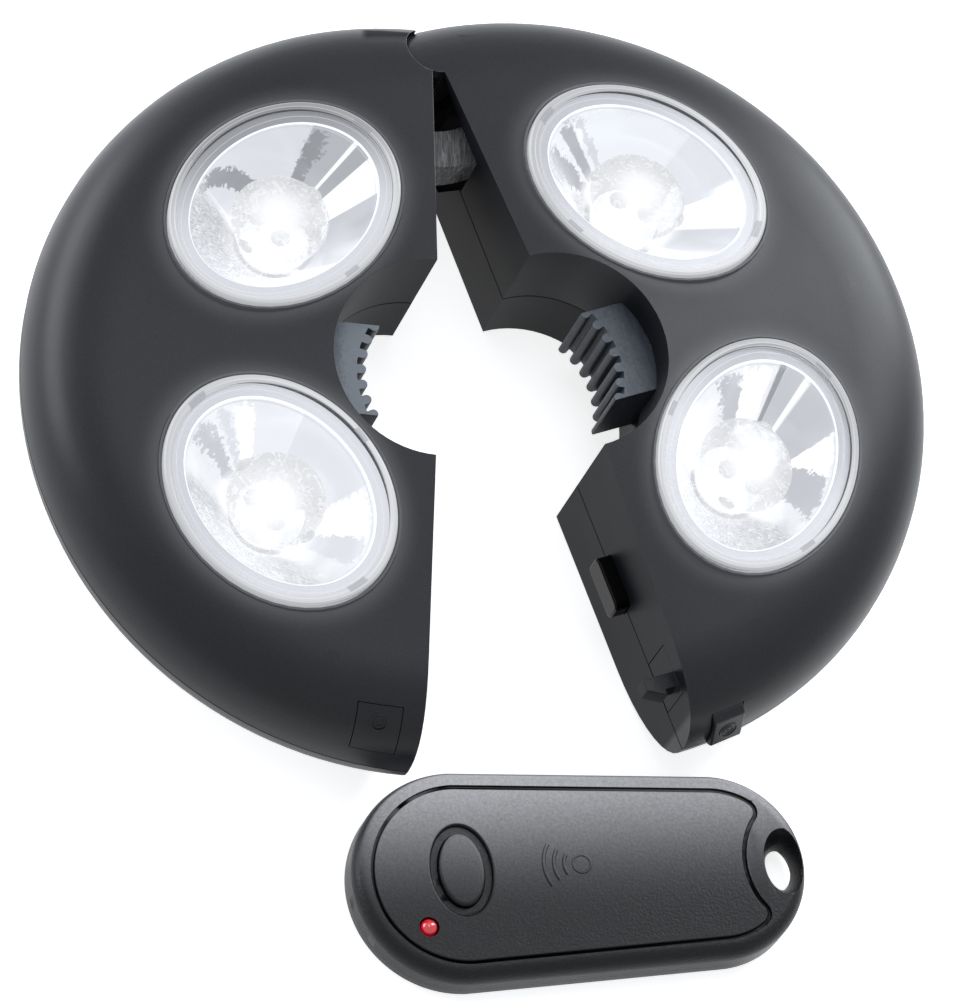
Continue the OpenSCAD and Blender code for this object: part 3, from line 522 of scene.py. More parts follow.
def inset(*steps):
    """Insets the selected faces once for each (thickness, depth)."""
    for thickness, depth in steps:
        bpy.ops.mesh.inset(thickness=thickness * MM, depth=depth * MM)


def clear_below(z):
    """Cuts away what lies below a height in metres, and leaves the open edge selected."""
    bpy.ops.mesh.select_all(action="SELECT")
    bpy.ops.mesh.bisect(plane_co=(0, 0, z), plane_no=(0, 0, 1), clear_inner=True)


# %% Making, copying, joining and finishing
def added(primitive, **settings):
    """Adds a primitive with nothing else selected."""
    bpy.ops.object.select_all(action="DESELECT")
    primitive(**settings)
    return bpy.context.object


def settle(obj, matrix=None):
    """Puts the piece's place into its mesh."""
    alone(obj)
    if matrix is not None:
        obj.matrix_world = matrix @ obj.matrix_world
    bpy.ops.object.transform_apply(location=True, rotation=True, scale=True)
    return obj


def placed_copy(source, matrix):
    """A copy with its own mesh, put where matrix says."""
    alone(source)
    bpy.ops.object.duplicate()
    return settle(bpy.context.object, matrix)


def join(target, *pieces):
    """Joins the pieces into target."""
    alone(target)
    for piece in pieces:
        piece.select_set(True)
    bpy.ops.object.join()
    return target


def add_modifier(obj, kind, **settings):
    """Adds a modifier and applies it."""
    alone(obj)
    modifier = obj.modifiers.new(kind.lower(), kind)
    for name, value in settings.items():
        setattr(modifier, name, value)
    bpy.ops.object.modifier_apply(modifier=modifier.name)
    return obj


def cut(obj, cutter):
    """Cuts another object away, which is then removed."""
    add_modifier(obj, "BOOLEAN", operation="DIFFERENCE", solver="EXACT", object=cutter)
    bpy.data.objects.remove(cutter)
    return obj


def round_edges(obj, width, segments=2, angle=40, **settings):
    """Rounds every edge that is sharper than angle."""
    return add_modifier(obj, "BEVEL", width=width, segments=segments, limit_method="ANGLE",
                        angle_limit=radians(angle), **settings)


def smooth(obj, angle):
    """Smooth shading up to an angle, with the large faces kept flat."""
    alone(obj)
    bpy.ops.object.shade_smooth_by_angle(angle=radians(angle))
    return add_modifier(obj, "WEIGHTED_NORMAL", keep_sharp=True, weight=80)


def coat(obj, material):
    """Gives a piece this material and no other."""
    obj.data.materials.clear()
    obj.data.materials.append(material)


def dress(obj, name, material, body, slot, *stands_for):
    """Names a finished piece, gives it its finish, and hangs it on its body."""
    obj.name = obj.data.name = name
    if len(obj.data.materials) < 2:
        coat(obj, material)
    obj.data.materials[0] = material
    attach(obj, body)
    if stands_for:
        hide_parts(*stands_for)


# %% CAD nodes, kept or copied
def wear(material, *names):
    """Gives CAD nodes that stay their finish."""
    for name in names:
        coat(nodes[name], material)


def copy_of(name):
    """A merged copy of a CAD node, with its flat faces whole again."""
    alone(nodes[name])
    bpy.ops.object.duplicate()
    made = bpy.context.object
    made.parent = None
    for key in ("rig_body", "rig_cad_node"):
        del made[key]
    bpy.ops.mesh.customdata_custom_splitnormals_clear()
    with editing(made):
        bpy.ops.mesh.select_all(action="SELECT")
        bpy.ops.mesh.remove_doubles(threshold=2e-6)
        bpy.ops.mesh.dissolve_limited(angle_limit=radians(0.4))
    coat(made, body_finish)
    return made


def rounded_copy(name, width, angle=40, segments=2, edge=None):
    """A copy with its sharp edges rounded, and given a finish of their own if edge names one."""
    made = copy_of(name)
    if edge:
        made.data.materials.append(edge)
    round_edges(made, width, segments, angle, miter_outer="MITER_ARC", material=1 if edge else -1)
    return smooth(made, 32)


# %% [markdown]
# ## Body covers
#
# The covers are thin mouldings, so no edge on them is truly sharp. Each one is a merged copy of
# the CAD cover whose edges are rounded by a quarter of a millimetre, with a finish of their own:
# a darker line along the split faces and the pole hole, and a painted highlight beside the hinge.

# %% Covers
for side in ("left", "right"):
    for layer, look in (("front", front_finish[side]), ("back", body_finish)):
        node = f"{side}_{layer}_cover"
        piece = rounded_copy(node, 0.26 * MM, edge=edge_finish)
        dress(piece, f"{side}_{layer}_moulding", look, f"{side}_half", "body_plastic", node)
        print(piece.name, len(piece.data.polygons), "faces")

# %% [markdown]
# ## Lamps
#
# Each lamp is a clear moulded lens over a plated bowl. The four are alike, so each part is
# modelled once about its own middle and copied into the four frames.

# %% Lens
OVAL_SIDES = 96
lens = added(bpy.ops.mesh.primitive_cylinder_add, vertices=OVAL_SIDES, radius=1, depth=2.3 * MM,
             location=(0, 0, -0.25 * MM))
lens.scale = (SHORT - 0.42 * MM, LONG - 0.45 * MM, 1)
with editing(settle(lens)):
    pick("faces", faces_up)
    inset((0.25, 0.42), (0.35, 0.25), (0.9, 0.03), (0.35, -0.42), (0.6, 0.02), (4.0, 0.10),
          (6.0, 0.08), (6.0, 0.04))
    pick("faces", faces_down)
    inset((2.25, 0), (0.05, -1.5))
smooth(lens, 30)
lens_top = max(v.co.z for v in lens.data.vertices)
print("lens", len(lens.data.polygons), "faces, top", round(lens_top / MM, 2))


# %% Finish of a lens
def turn_from(place, matrix, angle):
    """Direction round the lamp in degrees, and its likeness to angle: 1 towards it, 0 away."""
    off = place.node("VectorMath", {"operation": "SUBTRACT"},
                     {0: place, 1: matrix.translation[:]})
    x, y = parts(off, "XY")
    around = y.maths("ARCTAN2", x)
    likeness = 0.5 + 0.5 * (around - radians(angle)).maths("COSINE")
    return around * (180 / pi), likeness


def painted_flange_reflection(place, matrix, flange):
    """Painted reflection: pale plating that darkens towards one side, the way the room is mirrored
    there.
    """
    shade, dark, pale = flange
    likeness = turn_from(place, matrix, shade)[1]
    return blend(rise(likeness, 0.35, 0.97), pale, dark)


def apart(turns):
    """How many degrees a turn is from nought, either way round."""
    return turns.maths("WRAP", 180.0, -180.0).maths("ABSOLUTE")


def lens_shader(matrix, flange, clips):
    """Clear plastic, frosted where its rim rests on the shelf, with clips. The frosted rim glows
    with painted light: the flange's painted reflection, and painted highlight and shade lines.
    """
    def shader(tap):
        place = spot(tap)
        edge = tap.node("LayerWeight", None, {"Blend": 0.25}, out=1)
        reach = oval_reach(place, matrix)
        around = turn_from(place, matrix, 0)[0]
        tone = painted_flange_reflection(place, matrix, flange)
        # Painted highlight and shade lines round the rim, over the flange's painted reflection
        tone = blend(band(reach, 0.932, 0.937, 0.002) * 0.55, tone, (0.85, 0.86, 0.90, 1))
        tone = blend(band(reach, 0.955, 0.959, 0.002) * 0.35, tone, (0.30, 0.31, 0.34, 1))
        tone = blend(rise(reach, 0.968, 0.973), tone, (0.50, 0.51, 0.54, 1))
        tone = blend(rise(reach, 0.984, 0.988), tone, (0.14, 0.145, 0.16, 1))
        clip = largest([rise(apart(around - at), 5.2, 4.6) for at in clips])
        clip = clip * band(reach, 0.905, 0.955)
        tone = blend(clip * 0.55, tone, (0.24, 0.25, 0.28, 1))
        rim = largest([rise(reach, 0.902, 0.918), clip * 0.8])
        clear = tap.node("BsdfTransparent", None, {"Color": (0.985, 0.99, 1.0, 1)})
        gloss = plastic(tap, Base_Color=(0.05, 0.05, 0.055, 1), Specular_IOR_Level=0.9,
                        Roughness=0.06, Coat_Weight=0.5,
                        Normal=bump(noise(place, 130, 2), 0.0003, 0.2))
        # The frosted rim glows with that tone: painted light
        frost_with_painted_glow = plastic(tap, Base_Color=blend(rim, tone, grey(0.08)), Roughness=0.3,
                        Specular_IOR_Level=0.35, Emission_Color=blend(rim, grey(0.0), tone),
                        Emission_Strength=0.86)
        see = mix(tap, rise(edge, 0.10, 1.0) * 0.6 + 0.02, clear, gloss)
        return mix(tap, rim, see, frost_with_painted_glow)
    return shader


# %% [markdown]
# The reflector is one plated moulding: a pale flat flange under the lens, a bright rolled bead,
# and the bowl. Its profile is a row of ovals that turn smoothly into a circle at the foot, and
# the ovals are bridged into one closed skin.

# %% Reflector
BRIGHT = (20.3 * MM, 26.6 * MM)
FLANGE = (24.0 * MM, 30.3 * MM)
FOOT, DEPTH, RINGS = 9 * MM, 20 * MM, 22


def bowl_wall(rings, out, top):
    """(short, long, z) of some of the bowl's rings, moved out, from a depth down to the foot."""
    for ring in rings:
        down = ring / RINGS
        swell = (1 - down) ** 0.75
        yield (FOOT + out + (BRIGHT[0] - FOOT) * swell, FOOT + out + (BRIGHT[1] - FOOT) * swell,
               -top - (DEPTH - top) * down)


# From the flange's outer edge, over the bead, down to the foot and back up outside
rows = [(*FLANGE, -1.35 * MM), (*FLANGE, -0.10 * MM)]
rows += [(BRIGHT[0] + out * MM, BRIGHT[1] + out * MM, z * MM) for out, z in
         ((0.75, -0.10), (0.62, 0.02), (0.42, 0.06), (0.2, 0.0), (0.05, -0.2), (0, -0.6))]
rows += bowl_wall(range(RINGS + 1), 0, 2.2 * MM)
rows += bowl_wall(range(RINGS, -1, -4), 0.9 * MM, 3.0 * MM)
rows.append((BRIGHT[0] + 0.9 * MM, BRIGHT[1] + 0.9 * MM, -1.35 * MM))

reflector = added(bpy.ops.mesh.primitive_circle_add, vertices=OVAL_SIDES, radius=1,
                  location=(0, 0, rows[0][2]))
reflector.scale = (*rows[0][:2], 1)
with editing(settle(reflector)):
    for short, long, z in rows[1:]:
        bpy.ops.mesh.primitive_circle_add(vertices=OVAL_SIDES, radius=1, location=(0, 0, z))
        bpy.ops.transform.resize(value=(short, long, 1), center_override=(0, 0, z))
    bpy.ops.mesh.select_mode(type="EDGE")
    bpy.ops.mesh.select_all(action="SELECT")
    bpy.ops.mesh.bridge_edge_loops(type="CLOSED")
    bpy.ops.mesh.normals_make_consistent(inside=False)
smooth(reflector, 50)
print("reflector", len(reflector.data.polygons), "faces")


# %% Finish of a bowl
def bowl_shader(matrix, flange, wedges):
    """Plated bowl whose reflections, glints and glow from its foot are painted, as emission.
    Each wedge is a painted reflection, (middle, half width, tone, lean, torn): degrees round
    the lamp, how far it leans over towards the foot, and how torn its edge is."""
    def shader(tap):
        place = spot(tap)
        reach = oval_reach(place, matrix, *BRIGHT)
        around = turn_from(place, matrix, 0)[0]
        tear = noise(place, 520, 5, 0.75) - 0.5
        soft = noise(place, 90, 2)
        inward = 1 - reach

        def aside(middle, lean=0.0, torn=0.0):
            """Degrees between the point's direction and a wedge's middle."""
            return apart(around - middle - lean * inward + torn * tear)

        tone = blend(rise(soft, 0.3, 0.8), (0.76, 0.765, 0.78, 1), (0.88, 0.885, 0.90, 1))
        for middle, half, colour, lean, torn in wedges:
            mask = rise(aside(middle, lean, torn), half + 0.7, half - 0.7)
            if torn:
                mask = mask * rise(reach + 0.30 * tear, 0.97, 0.94)
            tone = blend(mask, tone, colour)
        # Painted glints, crinkled, low in the bowl: streaks along the radius, and torn flakes
        low = rise(aside(235.0) + 24 * (soft - 0.5), 74, 52)
        polar = place.node("CombineXYZ", None, {"X": around * 0.16, "Y": reach * 3.0})
        streak = noise(polar, 1.6, 5, 0.72, 1.4)
        flakes = noise(place, 330, 4, 0.65, 2.2)
        lines = largest([band(streak, 0.50, 0.54, 0.012), band(flakes, 0.52, 0.55, 0.012)])
        tone = blend(low, tone, blend(rise(flakes, 0.40, 0.62), (0.60, 0.61, 0.62, 1),
                                      (0.82, 0.82, 0.83, 1)))
        tone = blend(low * lines * 0.85, tone, (0.34, 0.355, 0.38, 1))
        # Painted glow round the foot of the bowl, where the domes light it
        lit = rise(reach + 0.10 * (soft - 0.5), 0.58, 0.40)
        tone = blend(lit * (1 - 0.7 * low), tone, (0.96, 0.96, 0.96, 1))
        # Painted light at the bead: a thin crescent inside it, the bead itself bright, then the
        # flange's painted reflection
        tone = blend(band(reach, 0.978, 0.988, 0.004) * 0.6, tone, (0.55, 0.57, 0.61, 1))
        tone = blend(rise(reach, 0.994, 0.999), tone, (1.0, 1.0, 1.03, 1))
        rest = painted_flange_reflection(place, matrix, flange)
        rest = blend(band(reach, 1.085, 1.092, 0.004) * 0.5, rest, (0.85, 0.86, 0.88, 1))
        outside = rise(reach, 1.010, 1.016)
        tone = blend(outside, tone, rest)
        base = blend(low, (0.16, 0.165, 0.175, 1), (0.05, 0.05, 0.055, 1))
        base = blend(outside, base, (0.07, 0.07, 0.075, 1))
        # The tone is emitted: painted reflections and light over the plating's own gloss
        return plastic(tap, Base_Color=base, Metallic=0.85 * (1 - outside),
                       Roughness=0.13 + 0.2 * outside, Emission_Color=tone,
                       Emission_Strength=1.0, Normal=bump(flakes * low, 0.0006, 0.25))
    return shader


def tint(level):
    """A painted reflection tone from its display level, 0 to 255, a little blue."""
    linear = (level / 255) ** 2.2
    return (linear * 0.98, linear * 0.995, linear * 1.035, 1.0)


# For each lamp: its flange's painted reflection, the painted reflection wedges in its bowl, and
# where its clips are
WHITE = (1.1, 1.1, 1.1, 1)
bowl_reflections_and_clips = {
    "upper_left": ((105, tint(138), tint(208)), [
        (118, 47, tint(212), 0, 0), (59, 13, tint(168), 0, 0), (66, 5.5, tint(132), 0, 26),
        (46, 1.6, WHITE, 0, 0), (40, 5, tint(160), 0, 0), (24, 11, WHITE, 0, 0),
        (-18, 31, tint(190), 0, 0), (166, 12, tint(136), -110, 30)], (50, -48, 152)),
    "upper_right": ((140, tint(186), tint(216)), [
        (28, 24, tint(222), 0, 0), (95, 40, tint(234), 0, 10), (146, 5, tint(166), 0, 6),
        (136, 3, tint(206), -10, 20), (170, 8, tint(164), -14, 40), (-8, 13, WHITE, 0, 0),
        (-36, 14, tint(206), 0, 0)], (150, -20, -140)),
    "lower_left": ((165, tint(198), tint(212)), [
        (42, 33, tint(220), 0, 0), (90, 14, tint(232), 0, 12), (143, 7, tint(188), -16, 42),
        (126, 3, tint(214), -8, 24), (112, 6, WHITE, 0, 10), (-8, 15, WHITE, 0, 26),
        (-34, 10, tint(214), 12, 24)], (135, 38, -50)),
    "lower_right": ((62, tint(172), tint(214)), [
        (110, 9, tint(186), -26, 34), (88, 9, WHITE, 0, 8), (74, 2.0, tint(140), 0, 0),
        (66, 6, tint(186), 0, 0), (59, 1.5, WHITE, 0, 0), (40, 16, tint(186), 0, 0),
        (6, 18, WHITE, 0, 12), (-32, 20, tint(182), 70, 34)], (55, 160, -60)),
}

# %% [markdown]
# Five light-emitting domes stand on the board at the foot of the bowl, inside a clear moulded
# cup with six ears, on which their light is painted as a glow. They are lit, so they glow white.

# %% Domes
DOME_FOOT = 1.5 * MM
dome = settle(added(bpy.ops.mesh.primitive_uv_sphere_add, segments=32, ring_count=16,
                    radius=2.3 * MM, location=(0, 0, DOME_FOOT)))
with editing(dome):
    clear_below(DOME_FOOT)
    extrude(-1.1)
    extrude(0)
    widen(1.13)
    extrude(-0.4)
    bpy.ops.mesh.edge_face_add()
    bpy.ops.mesh.select_all(action="SELECT")
    bpy.ops.mesh.normals_make_consistent(inside=False)
smooth(dome, 40)
turns = [radians(at) for at in (45, 135, 225, 315)]
places = [(5.52 * MM * cos(turn), 5.52 * MM * sin(turn)) for turn in turns] + [(0, 0)]
domes = join(*[placed_copy(dome, Matrix.Translation((x, y, -DEPTH))) for x, y in places])
bpy.data.objects.remove(dome)

# %% Cup
cup = settle(added(bpy.ops.mesh.primitive_cylinder_add, vertices=48, radius=9.2 * MM,
                   depth=0.6 * MM, location=(0, 0, -DEPTH + 0.3 * MM)))
with editing(cup):
    pick("faces", faces_up)
    inset((0.4, 0))
    for grow, lift in ((1.16, 4.0), (1.13, 4.0), (1.08, 3.2), (1.0, 0.6)):
        extrude(lift)
        widen(grow)
    inset((0.3, 0.25), (0.5, 0.2), (1.5, 0.35), (2.5, 0.3), (3.0, 0.15))
smooth(cup, 30)
# Each ear is (distance from the middle, direction in degrees, height, scale)
ears = [(12.0 * MM, at, -7.9 * MM, (0.6, 1.15, 0.55)) for at in (88, 268)]
ears += [(5.6 * MM, at, -7.3 * MM, (1.25, 1.25, 0.45)) for at in (45, 135, 225, 315)]
for far, at, z, scale in ears:
    ear = added(bpy.ops.mesh.primitive_uv_sphere_add, segments=28, ring_count=14, radius=2.0 * MM)
    ear.scale = scale
    ear.rotation_euler.z = radians(at)
    ear.location = (far * cos(radians(at)), far * sin(radians(at)), z)
    join(cup, smooth(settle(ear), 60))
print("domes", len(domes.data.polygons), "cup", len(cup.data.polygons), "faces")


# %% Finishes of the domes and the cup
def led_shader(tap):
    """Clear resin, brightest at its heart."""
    heart = noise(spot(tap), 300, 1)
    return plastic(tap, Base_Color=(0.95, 0.95, 0.92, 1), Roughness=0.08 + 0.05 * heart,
                   Emission_Color=blend(heart, (1.0, 1.0, 1.0, 1), (0.92, 0.96, 1.0, 1)),
                   Emission_Strength=0.9)


def cup_shader(matrix):
    """Clear moulding with painted light: a glow at its heart,
    crinkled glints and faint outlines.
    """
    def shader(tap):
        place = spot(tap)
        edge = tap.node("LayerWeight", None, {"Blend": 0.30}, out=1)
        heart = rise(oval_reach(place, matrix, 0.0125, 0.0125), 0.86, 0.20)
        swirl = noise(place, 300, 4, 0.62, 2.4)
        tone = blend(rise(swirl, 0.38, 0.62), (0.70, 0.705, 0.715, 1), (0.92, 0.92, 0.93, 1))
        tone = blend(band(swirl, 0.50, 0.53, 0.010) * 0.8, tone, (0.42, 0.435, 0.46, 1))
        tone = blend(rise(edge, 0.60, 0.85) * 0.8, tone, (0.36, 0.375, 0.40, 1))
        tone = blend(heart, tone, (1.05, 1.05, 1.05, 1))
        clear = tap.node("BsdfTransparent", None, {"Color": (1, 1, 1, 1)})
        glow = plastic(tap, Base_Color=(0.03, 0.03, 0.03, 1), Roughness=0.10,
                       Specular_IOR_Level=0.4, Emission_Color=tone, Emission_Strength=0.95)
        return mix(tap, 0.60 + 0.35 * heart, clear, glow)
    return shader


led_finish = finish("lit_domes", led_shader)

# %% [markdown]
# Now each lamp gets its own copy of lens, reflector, domes and cup, turned into its frame.

# %% Place the lamps
for name, matrix in lamps.items():
    body = name.split("_")[1] + "_half"
    flange, wedges, clips = bowl_reflections_and_clips[name]
    clear = finish(name + "_clear", lens_shader(matrix, flange, clips))
    dress(placed_copy(lens, matrix), name + "_clear_lens", clear, body, "lens", name + "_lens")
    plating = finish(name + "_plating", bowl_shader(matrix, flange, wedges))
    dress(placed_copy(reflector, matrix), name + "_bowl", plating, body, "reflector",
          name + "_reflector")
    dress(placed_copy(domes, matrix), name + "_domes", led_finish, body, "led", name + "_leds")
    glow = finish(name + "_glow", cup_shader(matrix))
    dress(placed_copy(cup, matrix), name + "_cup", glow, body, "lens")
    wear(seal_painted_glow_finish, name + "_seal")
    wear(lamp_board_painted_glow_finish, name + "_board")
for spare in (lens, reflector, domes, cup):
    bpy.data.objects.remove(spare)

# %% [markdown]
# ## Jaws, peg, latch and buttons
#
# The jaws are moulded rubber with worn, rounded ribs. Their edges get a wider radius than the
# hard plastic round them. The peg and the latch stand on the right half's split face.

# %% Jaws and the pieces on the split faces
jaw_finish = {"left": finish("rubber_wear_and_shade_left", rubber(Matrix.Rotation(pi, 4, "Z"), 1.5)),
              "right": finish("rubber_wear_and_shade_right", rubber(right_half))}
for side in ("left", "right"):
    dress(rounded_copy(f"{side}_jaw", 0.45 * MM, 50, 3), f"{side}_ribbed_jaw",
          jaw_finish[side], f"{side}_jaw", "jaw_rubber", f"{side}_jaw")
    wear(bridge_finish, f"{side}_jaw_slide")
    wear(steel_finish, f"{side}_jaw_spring", f"{side}_contacts", f"{side}_screws")
    wear(cell_finish, f"{side}_cells")
    dress(rounded_copy(f"{side}_battery_door", 0.25 * MM), f"{side}_door", body_finish,
          f"{side}_battery_door", "body_plastic", f"{side}_battery_door")
dress(rounded_copy("locating_peg", 0.5 * MM, 50, 3), "rubber_peg", peg_finish, "right_half",
      "black_plastic", "locating_peg")
dress(rounded_copy("latch_hook", 0.3 * MM), "latch", body_finish, "right_half",
      "body_plastic", "latch_hook")

# %% [markdown]
# The release tab and the power key each carry a small raised sign. A line is sent at the face
# that bears it, and the sign is laid where the line lands. The key's upper edge is moved in
# first, which gives it a broad slope.


# %% Release tab and power key
def stamp(target, eye_line, origin, size):
    """Raises a generic sign, two rings and a dot, where a line from origin meets the target."""
    hit, place, normal, _ = target.ray_cast(Vector(origin), Vector(eye_line).normalized())
    frame_in = Matrix.Translation(place) @ normal.to_track_quat("Z", "Y").to_matrix().to_4x4()
    pieces = []
    for radius, wire in ((size, 0.22 * MM), (0.56 * size, 0.19 * MM)):
        ring = added(bpy.ops.mesh.primitive_torus_add, major_segments=48, minor_segments=8,
                     major_radius=radius, minor_radius=wire)
        pieces.append(settle(ring, frame_in))
    dot = added(bpy.ops.mesh.primitive_uv_sphere_add, segments=16, ring_count=8,
                radius=0.32 * MM)
    dot.scale.z = 0.7
    pieces.append(settle(dot, frame_in))
    for piece in pieces:
        coat(piece, body_finish)
    join(target, *pieces)
    print("sign on", target.name, hit, tuple(round(v, 4) for v in place))
    smooth(target, 40)


tab = rounded_copy("release_tab", 0.25 * MM)
stamp(tab, (0, 0, -1), (-0.0112, -0.0936, 0.060), 2.1 * MM)
dress(tab, "press_tab", body_finish, "release_tab", "body_plastic", "release_tab")

KEY_REACH = 101.8 * MM
key_out = right_half @ Matrix.Rotation(radians(-83.6), 4, "Z")
outward = key_out.to_3x3() @ Vector((1, 0, 0))
power_key = copy_of("power_button")
with editing(power_key):
    moved = pick("verts", lambda v: v.co.z > 28 * MM and
                 (v.co - key_out.translation).dot(outward) > KEY_REACH - 0.5 * MM)
    bpy.ops.transform.translate(value=tuple(-2.6 * MM * outward + Vector((0, 0, 2.4 * MM))))
round_edges(power_key, 0.5 * MM, 3, 30)
smooth(power_key, 32)
print("power key", moved, "corners moved in, reach", round(KEY_REACH / MM, 1))
before_key = key_out.translation + outward * (KEY_REACH + 0.02) + Vector((0, 0, 26.8 * MM))
stamp(power_key, -outward, before_key, 2.4 * MM)
dress(power_key, "power_key", body_finish, "power_button", "body_plastic", "power_button")

# %% Bridge, pin and boards
dress(rounded_copy("cable_bridge", 0.4 * MM), "rough_bridge", bridge_finish, "left_half",
      "bridge_plastic", "cable_bridge")
wear(steel_finish, "hinge_pin", "remote_coin_cell")
wear(board_finish, "control_board", "switch_board", "remote_board")

# %% [markdown]
# ## Remote
#
# The remote's two shells meet on a thin seam. Its face plate sits in a groove and ends in a
# wavy edge that clears the key ring hole. The outline starts as a circle whose far half is
# pulled out to the narrow end.

# %% Outline of the remote
R1, R2, SPAN = 27.6 * MM, 24.2 * MM, 65 * MM     # the two end circles, and how far apart
C1 = -(SPAN + R2 - R1) / 2                       # middle of the wide end
C2 = C1 + SPAN                                   # middle of the narrow end
SEAM, WALL_TOP, PLATE_Z = 4.6 * MM, 8.4 * MM, 10.9 * MM
RIM = 4.2 * MM                                   # width of the top shell's rolled rim
THROUGH = 30 * MM                                # long enough to cut right through


def pebble(inward, z, height):
    """A solid with the remote's outline, drawn in by a distance."""
    made = settle(added(bpy.ops.mesh.primitive_cylinder_add, vertices=144, radius=R1 - inward,
                        depth=height, location=(C1, 0, z + height / 2)))
    with editing(made):
        pick("verts", lambda v: v.co.x > C1 + 1e-5)
        widen((R2 - inward) / (R1 - inward), (C1, 0, 0))
        bpy.ops.transform.translate(value=(SPAN, 0, 0))
    return made


def oval_post(short, long, x, y, z, height, sides=64):
    """An oval cylinder, for a cutter or a blank."""
    made = added(bpy.ops.mesh.primitive_cylinder_add, vertices=sides, radius=1, depth=height,
                 location=(x, y, z + height / 2))
    made.scale = (short, long, 1)
    return settle(made)


# %% Face plate blank: the outline with the ring end scooped out and its two tips rounded
SCOOP_R, SCOOP_X = 19.7 * MM, C2 + 27.3 * MM


def plate_blank(z, height):
    made = pebble(RIM + 0.9 * MM, z, height)
    cut(made, oval_post(SCOOP_R, SCOOP_R, SCOOP_X, 0, z - MM, height + 2 * MM, 128))

    def upright(edge):
        return abs(edge.verts[0].co.z - edge.verts[1].co.z) > height / 2

    with editing(made):
        sharp = [middle(e) for e in bmesh.from_edit_mesh(made.data).edges
                 if upright(e) and e.calc_face_angle(0) > radians(30)]
        tip = Vector((sharp[0].x, abs(sharp[0].y)))

        def from_tip(edge):
            at = middle(edge)
            return (Vector((at.x, abs(at.y))) - tip).length

        pick("edges", lambda e: upright(e) and 1e-5 < from_tip(e) < 3.1 * MM)
        bpy.ops.mesh.dissolve_edges(use_verts=True)
        tips = pick("edges", lambda e: upright(e) and from_tip(e) < 1e-5)
        bpy.ops.mesh.bevel(offset=2.7 * MM, segments=10, affect="EDGES")
    print("plate tips", tips)
    return made


# %% Face plate: the button's moat and the plate's edge are rolled, and the lamp gets a hole
KEY_X, KEY_Y, KEY_SHORT, KEY_LONG = C1, 1.2 * MM, 5.9 * MM, 9.5 * MM
BEAD_X, BEAD_Y, BEAD_R = C1 - 10.2 * MM, -13.2 * MM, 2.4 * MM


def bead_hole():
    return oval_post(BEAD_R + 0.15 * MM, BEAD_R + 0.15 * MM, BEAD_X, BEAD_Y, 0, THROUGH, 48)


def top_edge(edge):
    return all(v.co.z > 12.1 * MM for v in edge.verts) and edge.calc_face_angle(0) > 1


plate = plate_blank(PLATE_Z, 1.3 * MM)
cut(plate, oval_post(KEY_SHORT + 1.9 * MM, KEY_LONG + 2.1 * MM, KEY_X, KEY_Y, 0, THROUGH))
with editing(plate):
    key_at = Vector((KEY_X, KEY_Y))
    pick("edges", lambda e: top_edge(e) and (middle(e).xy - key_at).length < 13 * MM)
    bpy.ops.mesh.bevel(offset=0.9 * MM, segments=5, affect="EDGES")
    pick("edges", top_edge)
    bpy.ops.mesh.bevel(offset=0.45 * MM, segments=3, affect="EDGES")
cut(plate, bead_hole())
smooth(plate, 30)

# %% Top shell: straight wall, then a rolled rim built from small insets
STEPS = 8
shell = pebble(0, SEAM, WALL_TOP - SEAM)
rim = [(3.8 * MM * (1 - cos(pi / 2 * k / STEPS)), WALL_TOP + 4.1 * MM * sin(pi / 2 * k / STEPS))
       for k in range(STEPS + 1)]
with editing(shell):
    pick("faces", faces_up)
    for (near, low), (far, high) in zip(rim, rim[1:]):
        bpy.ops.mesh.inset(thickness=far - near, depth=high - low)
pocket = plate_blank(PLATE_Z, 4 * MM)
with editing(pocket):
    pick("faces", lambda f: abs(f.normal.z) < 0.5)
    bpy.ops.transform.shrink_fatten(value=0.9 * MM, use_even_offset=True)
cut(shell, pocket)

# %% Key ring hole: a post left standing in the hollow, and an oval hole in a dished seat
RING_X, RING_SHORT, RING_LONG = C2 + 18.4 * MM, 3.4 * MM, 5.3 * MM


def hollow(inward, z, height):
    """The room inside a shell, round the post that the key ring hole runs through."""
    return cut(pebble(inward, z, height),
               oval_post(6.2 * MM, 9.4 * MM, RING_X, 0, 0, 20 * MM))


cut(shell, hollow(1.6 * MM, SEAM - 2 * MM, PLATE_Z - 1.6 * MM - SEAM + 2 * MM))
print("top shell", len(shell.data.polygons), "faces")
dish = oval_post(RING_SHORT, RING_LONG, RING_X, 0, -2 * MM, 6.5 * MM)
with editing(dish):
    pick("faces", faces_up)
    for grow, lift in ((1.02, 0.8), (1.06, 1.4), (1.10, 1.6), (1.12, 1.6), (1.12, 1.4),
                       (1.10, 1.2), (1.1, 2.0)):
        extrude(lift)
        widen(grow, (RING_X, 0, 0))
cut(shell, dish)
cut(shell, oval_post(KEY_SHORT + 0.2 * MM, KEY_LONG + 0.2 * MM, KEY_X, KEY_Y, 0, THROUGH))
cut(shell, bead_hole())
smooth(round_edges(shell, 0.25 * MM), 30)


